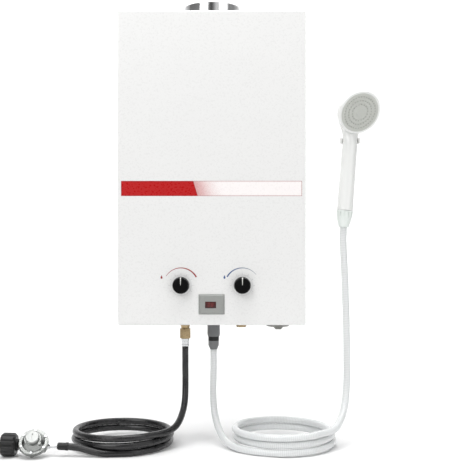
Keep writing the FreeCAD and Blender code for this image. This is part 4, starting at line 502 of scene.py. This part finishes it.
class HEATER_OT_shower_hose(bpy.types.Operator):
    """Ribbed white hose from the coupler, coiled on the floor, up to the handset"""
    bl_idname = "heater.shower_hose"
    bl_label = "Shower hose"

    def execute(self, context):
        look = context.scene.heater_hoses
        coil = coil_points(**SHOWER_COIL)
        joined, arrive, left, leave = coil_ends(coil, SHOWER_COIL)
        landing = (71.7, -184.7, FLOOR + SHOWER_COIL["diameter"] / 2)
        drop = [(3, -65, -611), (3, -65, -654.9), (1.6, -66, -698.9), (4, -77.1, -736), (13, -100.9, -764.9),
                (27, -135.9, -783), (49.1, -167.8, -786.9), landing]
        foot = np.array(handset_point(-0.034)) * 1000
        up = np.array(HANDLE_UP @ Vector((0, 0, 1)))
        rise = [(246.1, -139.9, -749.2), (263.2, -107.6, -725.1), (271.2, -83, -675.1), (271.2, -81, -620),
                (270.6, -79, -562), (269, -77.4, -504), (267, -76, -446), (265, -75, -406)]
        route = np.vstack([drop, joined - arrive * 15.5, coil, left, left + leave * 21.9, rise,
                           foot - up * 20, foot])
        g = Graph("shower_hose_vinyl")
        u, v, _ = g.axes(g.coords.outputs["UV"], 1)
        ribs_and_groove_shade = (u * (look.shower_length / look.shower_pitch) + v).wave() * 0.5 + 0.5
        cloud = g.noise(28, 3)
        # The rib grooves are painted darker than the crests: painted shade in the grooves. The same ribs
        # drive the bump.
        tint = g.mix(ribs_and_groove_shade, tuple(c * 0.86 for c in look.shower_colour), tuple(look.shower_colour))
        tint = g.mix(cloud.over(0.55, 0.4) * 0.25, tint, shade(226, 230, 232))
        g.finish(tint, 0.2 + cloud * 0.1, ribs_and_groove_shade, 0.00016, coat_weight=0.35, coat_roughness=0.12)
        line = read_line("shower_line", route / 1000)
        hose = tube("shower_hose", line, look.shower_diameter, g.material)
        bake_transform(hose)
        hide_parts("shower_hose_drop", "shower_hose_coil", "shower_hose_riser")
        return {"FINISHED"}


def printed_enamel(look):
    """White enamel with the band, the two knob scales and their marks printed on the front face."""
    g = Graph("case_enamel")
    x, y, z = g.axes()
    front = (-y).over(FRONT_FACE, 0.2)
    top, foot = look.band_top * 1000, look.band_foot * 1000

    def box(left, right, low, high):
        return x.over(left) * x.under(right) * z.over(low) * z.under(high)

    whole = box(-177, 176.6, foot, top)
    inner = box(-176, 175.6, foot + 1, top - 1)
    beyond = x - ((top - z) * (9 / 29.5) - 36)
    cell = 1.7
    across = (x / cell).math("FRACT") - 0.5
    rise = (z / cell).math("FRACT") - 0.5
    near = (across * across + rise * rise).math("SQRT")
    dots = ((beyond / -58 + 1).math("MAXIMUM", 0) * 0.62 - near).over(0, 0.16)
    peel = g.noise(420, 2)
    dull = g.noise(260, 2)
    base = g.mix(dull * 0.3, tuple(look.enamel), tuple(c * 0.992 for c in look.enamel))
    base = g.mix(whole * front * beyond.over(0) * 0.75, base, tuple(look.band_edge))
    base = g.mix(inner * front, base, shade(249, 244, 243))
    base = g.mix(inner * front * dots * 0.62, base, tuple(look.band))
    base = g.mix(whole * front * beyond.under(0), base, tuple(look.band_edge))
    base = g.mix(inner * front * beyond.under(-1.2), base, tuple(look.band))

    def sweep(middle, start, end, first, last):
        """An arc whose thickness goes from first to last, with its share of the way from start to end."""
        dx, dz = x - middle, z - KNOB_HEIGHT
        reach = (dx * dx + dz * dz).math("SQRT")
        share = (dz.math("ARCTAN2", dx) * (180 / math.pi) - start) / (end - start)
        half = share * ((last - first) / 2) + first / 2
        thick = (half - abs(reach - SCALE_RADIUS)).over(0, 0.3)
        return thick * share.over(0, 0.01) * share.under(1, 0.01), share

    hot, _ = sweep(-KNOB_ASIDE, 148, 28, 0.8, 2.8)
    cold, share = sweep(KNOB_ASIDE, 151, 38, 2.8, 0.7)
    base = g.mix(hot * front, base, tuple(look.hot))
    base = g.mix(cold * front, base, g.mix(share, tuple(look.cold), shade(150, 156, 164)))
    for middle in (-KNOB_ASIDE, KNOB_ASIDE):
        dx, dz = x - middle, z - KNOB_HEIGHT
        reach = (dx * dx + dz * dz).math("SQRT")
        tick = (dz.math("ARCTAN2", dx) * (180 / math.pi / 30) + 12.5).math("FRACT")
        marks = (abs(tick - 0.5)).under(0.035, 0.02) * reach.over(21) * reach.under(24.5) * dz.over(-14)
        ring = (abs(reach - 20.4)).under(0.3)
        base = g.mix((marks * 0.4 + ring * 0.3) * front, base, shade(120, 122, 124))
    for middle, colour in ((-97.9, shade(140, 36, 36)), (25.2, tuple(look.cold))):
        dx, dz = abs(x - middle), z + 461.5
        wide = (1 - (dz / 3.8) * (dz / 3.8)).math("MAXIMUM", 0).math("SQRT") * (1 - (dz + 3.8) * 0.115) * 3.0
        base = g.mix((wide - dx).over(0.15) * front, base, colour)
    return g.finish(base, 0.24 + dull * 0.08, peel, 0.00002, coat_weight=0.4, coat_roughness=0.08)


def sheet_zinc(name, tint):
    """Galvanised sheet: spangle of angular grains, each of its own grey and shine."""
    g = Graph(name)
    edge, grain = g.cells(70)
    fine = g.noise(260, 4)
    base = g.mix(grain, tuple(c * 0.78 for c in tint), tuple(c * 1.08 for c in tint))
    return g.finish(base, 0.3 + grain * 0.16 + fine * 0.08, edge + fine * 0.3, 0.00004, metallic=1.0)


def bright_metal(name, tint, rough, line=(1, 1, 40), stain=None, amount=0.25, lighter_upward=0.00003):
    """Turned, drawn or polished metal: fine lines along one way, cloudy shine and a patchy stain."""
    g = Graph(name)
    lines = g.noise(160, 4, 0.6, g.stretched(line))
    cloud = g.noise(60, 4)
    base = g.mix(lines * 0.5, tuple(tint), tuple(c * 0.86 for c in tint))
    base = g.mix(cloud.over(0.58, 0.25) * amount, base, stain or tuple(c * 0.6 for c in tint))
    return g.finish(base, rough + lines * 0.08 + cloud.over(0.55, 0.3) * 0.1, lines, lighter_upward, metallic=1.0)


def cast_metal(name, tint, rough):
    """Die-cast metal: a fine sandy skin with soft flow marks."""
    g = Graph(name)
    sand = g.noise(1400, 3)
    flow = g.noise(45, 5, 0.65)
    base = g.mix(flow, tuple(c * 0.86 for c in tint), tuple(tint))
    return g.finish(base, rough + flow * 0.14, sand + flow * 0.6, 0.00009, metallic=1.0)


def moulded(name, tint, rough, grain=1100, lighter_upward=0.00003, coat=0.0, wear=0.12):
    """Moulded plastic: eggshell grain, faint flow clouds and a few rubbed spots."""
    g = Graph(name)
    skin = g.noise(grain, 2)
    flow = g.noise(22, 4)
    spots = g.noise(240, 6, 0.7).over(0.66, 0.08)
    base = g.mix(flow * 0.5, tuple(tint), tuple(c * 0.9 for c in tint))
    base = g.mix(spots * wear, base, tuple(min(1.0, c * 1.4 + 0.04) for c in tint))
    return g.finish(base, rough + flow * 0.08 + spots * 0.06, skin, lighter_upward, coat_weight=coat,
                    coat_roughness=0.1)


class HEATER_OT_case(bpy.types.Operator):
    """Printed cover, galvanised sheets, chrome flue collar and screws"""
    bl_idname = "heater.case"
    bl_label = "Case"

    def execute(self, context):
        dress(printed_enamel(context.scene.heater_case), "front_cover")
        dress(sheet_zinc("galvanised_sheet", (0.62, 0.63, 0.64)), "back_panel", "bottom_plate",
              "exhaust_hood")
        chrome = bright_metal("flue_chrome", (0.88, 0.885, 0.89), 0.05, (1, 1, 9), amount=0.12,
                              lighter_upward=0.000006)
        dress(chrome, "flue_collar")
        dress(bright_metal("screw_zinc", (0.72, 0.73, 0.74), 0.24), "cover_screws")
        return {"FINISHED"}


class HEATER_OT_controls(bpy.types.Operator):
    """Knobs with white pointers, display frame, red window and its unlit digits"""
    bl_idname = "heater.controls"
    bl_label = "Controls"

    def execute(self, context):
        for name, middle in (("gas_knob", -KNOB_ASIDE), ("water_knob", KNOB_ASIDE)):
            g = Graph(name + "_plastic")
            x, y, z = g.axes()
            dx, rise = abs(x - middle), z - KNOB_HEIGHT
            pointer = (rise * 0.055 + 0.25 - dx).over(0, 0.25) * rise.over(1.0) * (-y).over(141)
            skin = g.noise(1500, 2)
            rub = g.noise(90, 5).over(0.6, 0.2)
            base = g.mix(rub * 0.25, shade(3, 3, 4), shade(9, 9, 10))
            base = g.mix(pointer, base, shade(236, 236, 232))
            dress(g.finish(base, 0.42 + rub * 0.1 + pointer * 0.1, skin, 0.00004, specular=0.12), name)
        dress(moulded("bezel_grey", shade(150, 152, 149), 0.4, 1300, 0.00005), "display_bezel")
        g = Graph("window_red")
        z = g.axes()[2]
        smear = g.noise(40, 4)
        # The red is lighter towards the top of the window and darker towards its foot.
        lighter_upward = (z + 516).over(-2, 12)
        base = g.mix(lighter_upward * 0.7, shade(52, 12, 12), shade(84, 24, 24))
        window = g.finish(base, 0.06 + smear * 0.06, smear, 0.00001, coat_weight=0.6, coat_roughness=0.03)
        dress(window, "display_window")
        g = Graph("board_green")
        x, _, z = g.axes()
        tracks = (x / 2.6).wave().over(0.86, 0.1).math("MAXIMUM", (z / 3.4).wave().over(0.9, 0.1))
        base = g.mix(tracks, shade(28, 92, 54), shade(74, 140, 84))
        dress(g.finish(base, 0.35 + g.noise(200) * 0.2, tracks, 0.00004), "display_board")
        low, high = (np.array(corner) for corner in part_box("display_window"))
        middle = (low + high) / 2
        long, thin = 3.1, 0.42
        bar = np.array([(-long / 2, 0), (-long / 2 + thin, thin), (long / 2 - thin, thin), (long / 2, 0),
                        (long / 2 - thin, -thin), (-long / 2 + thin, -thin)])
        upright = bar[:, ::-1] * (1, -1)
        step = long + 0.35
        spots = [(0, step, bar), (0, 0, bar), (0, -step, bar)]
        spots += [(side * step / 2, rise * step / 2, upright) for side in (-1, 1) for rise in (-1, 1)]
        flat = np.array([shape + (x + digit, z) for digit in (-3.0, 3.0) for x, z, shape in spots])
        flat[..., 0] += flat[..., 1] * 0.12
        near, far = low[1] - 0.00012, low[1] + 0.0002
        aside, height = flat[..., 0] / 1000 + middle[0], flat[..., 1] / 1000 + middle[2]
        sheets = [np.stack([aside, np.full(aside.shape, place), height], -1) for place in (near, far)]
        points = np.concatenate(sheets, 1).reshape(-1, 3)
        ring = np.arange(6)
        faces = []
        for first in range(0, len(points), 12):
            faces.append((first + ring)[::-1].tolist())
            faces.append((first + 6 + ring).tolist())
            faces += [(first + i, first + (i + 1) % 6, first + 6 + (i + 1) % 6,
                       first + 6 + i) for i in range(6)]
        g = Graph("digit_segments")
        glow = g.noise(300, 2)
        g.finish(g.mix(glow, shade(112, 40, 38), shade(138, 56, 52)), 0.2 + glow * 0.1)
        digits = add_piece("display_digits", points, faces, g.material, "heater")
        digits.data.polygons.foreach_set("use_smooth", np.zeros(len(digits.data.polygons), dtype=bool))
        return {"FINISHED"}


class HEATER_OT_fittings(bpy.types.Operator):
    """Brass, plated and plastic fittings under the case, and the regulator"""
    bl_idname = "heater.fittings"
    bl_label = "Fittings"

    def execute(self, context):
        brass = bright_metal("turned_brass", (0.46, 0.35, 0.20), 0.2, (1, 1, 30), (0.20, 0.13, 0.07), 0.45)
        dress(brass, "gas_inlet_fitting", "gas_flare_nut", "cold_water_inlet", "drain_plug",
              "hot_water_outlet",
              "tank_stem", "gas_spindle", "water_spindle")
        plated = bright_metal("bright_zinc", (0.80, 0.81, 0.82), 0.14, (1, 1, 24), amount=0.2)
        dress(plated, "gas_ferrule", "regulator_outlet", "regulator_screws", "battery_contact")
        dress(moulded("coupler_grey", shade(116, 117, 118), 0.34), "outlet_coupler", "hose_tail_sleeve")
        dress(moulded("cap_grey", shade(140, 140, 134), 0.42), "battery_tube", "battery_cap")
        dress(moulded("seal_black", shade(5, 5, 6), 0.5), "coupler_ring")
        dress(moulded("ferrule_black", shade(8, 8, 9), 0.36), "gas_tail_ferrule")
        dress(moulded("nut_black", shade(9, 9, 10), 0.36, 900, 0.00006), "tank_nut")
        dress(cast_metal("regulator_casting", (0.36, 0.37, 0.36), 0.2), "regulator_body", "regulator_bonnet")
        dress(cast_metal("regulator_cap_silver", (0.44, 0.45, 0.44), 0.28), "regulator_cap")
        return {"FINISHED"}


class HEATER_OT_works(bpy.types.Operator):
    """Copper, steel, ceramic and plastic of the works inside the case"""
    bl_idname = "heater.works"
    bl_label = "Works"

    def execute(self, context):
        copper = bright_metal("tinned_copper", (0.80, 0.46, 0.30), 0.26, (1, 1, 8), (0.36, 0.22, 0.26), 0.5)
        dress(copper, "heat_exchanger", "cold_feed_pipe", "hot_return_pipe")
        tinted = bright_metal("burner_steel", (0.60, 0.58, 0.56), 0.3, (1, 40, 1), (0.34, 0.26, 0.30), 0.55)
        dress(tinted, "burner_tray", "burner_blades")
        cast = cast_metal("valve_casting", (0.68, 0.69, 0.70), 0.36)
        dress(cast, "gas_manifold", "gas_valve_body")
        dress(cast_metal("valve_brass", (0.74, 0.56, 0.28), 0.34), "water_valve_body", "diaphragm_cover")
        dress(bright_metal("solenoid_zinc", (0.74, 0.75, 0.76), 0.22), "gas_solenoid")
        dress(moulded("ceramic_glaze", shade(234, 228, 214), 0.16, 300, 0.00002, 0.3), "ignition_electrodes")
        dress(moulded("box_black", shade(30, 30, 33), 0.5), "igniter_box", "microswitch")
        g = Graph("cell_sleeve")
        z = g.axes()[2]
        stripe = ((z + 500) / 60).math("FRACT").over(0.7, 0.02)
        base = g.mix(stripe, shade(38, 66, 110), shade(186, 146, 82))
        dress(g.finish(base, 0.25 + g.noise(90) * 0.1), "battery_cells")
        return {"FINISHED"}


class HEATER_OT_handset(bpy.types.Operator):
    """Handset shell, spray plate with its nozzles, hose nut and wall hook"""
    bl_idname = "heater.handset"
    bl_label = "Handset"

    def execute(self, context):
        look = context.scene.heater_handset
        shell = tuple(look.shell)
        g = Graph("handset_white")
        x, y, z = g.axes()
        out = HANDLE_UP @ Vector((0, -1, 0))
        aside = (x - HANDLE_FOOT.x * 1000) * out.x + (y - HANDLE_FOOT.y * 1000) * out.y
        seam = (abs(aside)).under(0.14, 0.12) * z.under(-185, 12)
        flow = g.noise(18, 4)
        base = g.mix(flow * 0.4, shell, tuple(c * 0.94 for c in shell))
        base = g.mix(seam * 0.45, base, shade(176, 178, 176))
        relief = g.noise(800, 2) * 0.2 - seam
        plastic = g.finish(base, 0.16 + flow * 0.06, relief, 0.00006, coat_weight=0.5, coat_roughness=0.06)
        dress(plastic, "handset_shell")
        dress(moulded("rim_white", shell, 0.14, 700, 0.00001, 0.6, 0.0), "handset_rim")
        dress(moulded("hook_white", shade(240, 240, 238), 0.24, 900, 0.00003, 0.3, 0.05), "wall_hook")
        dress(moulded("nut_white", shade(232, 238, 234), 0.24, 900, 0.00003, 0.35, 0.05), "handset_nut")
        dress(moulded("face_grey", tuple(look.face), 0.36, 1300, 0.00004, 0.1, 0.06), "handset_face")
        rubber = moulded("nozzle_rubber", tuple(c * 0.72 for c in look.face), 0.5, 1500, 0.00002, 0.0, 0.1)
        sides = 10
        plate_radius = 0.040
        plate_lift = 0.0009
        rings = (0.82, 0.62, 0.42)
        profile = np.array([(1.0, -0.15), (0.92, 0.25), (0.7, 0.75), (0.62, 0.95),
                            (0.4, 1.0), (0.26, 0.9), (0.22, 0.5)])
        profile = profile * (look.nozzle_radius, look.nozzle_height)
        angle = np.arange(sides) * math.tau / sides
        wide, tall = profile[:, :1], profile[:, 1:]
        one = np.stack([wide * np.cos(angle), wide * np.sin(angle), np.repeat(tall, sides, 1)],
                       -1).reshape(-1, 3)
        faces, _, _ = ring_faces(len(profile), sides)
        caps = [list(range(sides))[::-1], list(range(len(one) - sides, len(one)))]
        spots = []
        for part in rings:
            count = round(look.outer_nozzles * part / rings[0])
            turn = np.arange(count) * math.tau / count + part * 9
            spots += [(plate_radius * part * math.cos(a), plate_radius * part * math.sin(a)) for a in turn]
        spots = np.array(spots)
        local = one[None] + np.c_[spots, np.full(len(spots), plate_lift)][:, None]
        middle = np.array(handset_point(0.195, 0.030))
        points = local.reshape(-1, 3) @ np.array(HEAD_TURN).T + middle
        shape = faces.tolist() + caps
        every = [[corner + n * len(one) for corner in face] for n in range(len(spots)) for face in shape]
        nozzles = add_piece("spray_nozzles", points, every, rubber, "handset")
        return {"FINISHED"}


STEPS = (HEATER_OT_stage, HEATER_OT_gas_hose, HEATER_OT_shower_hose, HEATER_OT_case, HEATER_OT_controls,
         HEATER_OT_fittings, HEATER_OT_works, HEATER_OT_handset)
GROUPS = {"heater_hoses": HoseSettings, "heater_case": CaseSettings, "heater_handset": HandsetSettings,
          "heater_stage": StageSettings}


class HEATER_PT_parts(bpy.types.Panel):
    """Steps that dress the heater, and the values they use"""
    bl_idname = "HEATER_PT_parts"
    bl_label = "Water heater"
    bl_space_type = "VIEW_3D"
    bl_region_type = "UI"
    bl_category = "Heater"

    def draw(self, context):
        for step in STEPS:
            self.layout.operator(step.bl_idname)
        for name, group in GROUPS.items():
            box = self.layout.box()
            for value in group.__annotations__:
                box.prop(getattr(context.scene, name), value)


def register():
    for part in (*GROUPS.values(), *STEPS, HEATER_PT_parts):
        bpy.utils.register_class(part)
    for name, group in GROUPS.items():
        setattr(bpy.types.Scene, name, PointerProperty(type=group))


def unregister():
    for name in GROUPS:
        delattr(bpy.types.Scene, name)
    for part in (HEATER_PT_parts, *reversed(STEPS), *GROUPS.values()):
        bpy.utils.unregister_class(part)


def main():
    """Runs every step in order and works out the box of the solids and the box of the dressed heater."""
    register()
    for step in STEPS:
        getattr(bpy.ops.heater, step.bl_idname.split(".")[1])()
    boxes = {"cad": CAD_BOX, "visual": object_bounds()}
    boxes = {name: [[float(number) for number in corner] for corner in box] for name, box in boxes.items()}


if __name__ == "__main__":
    main()
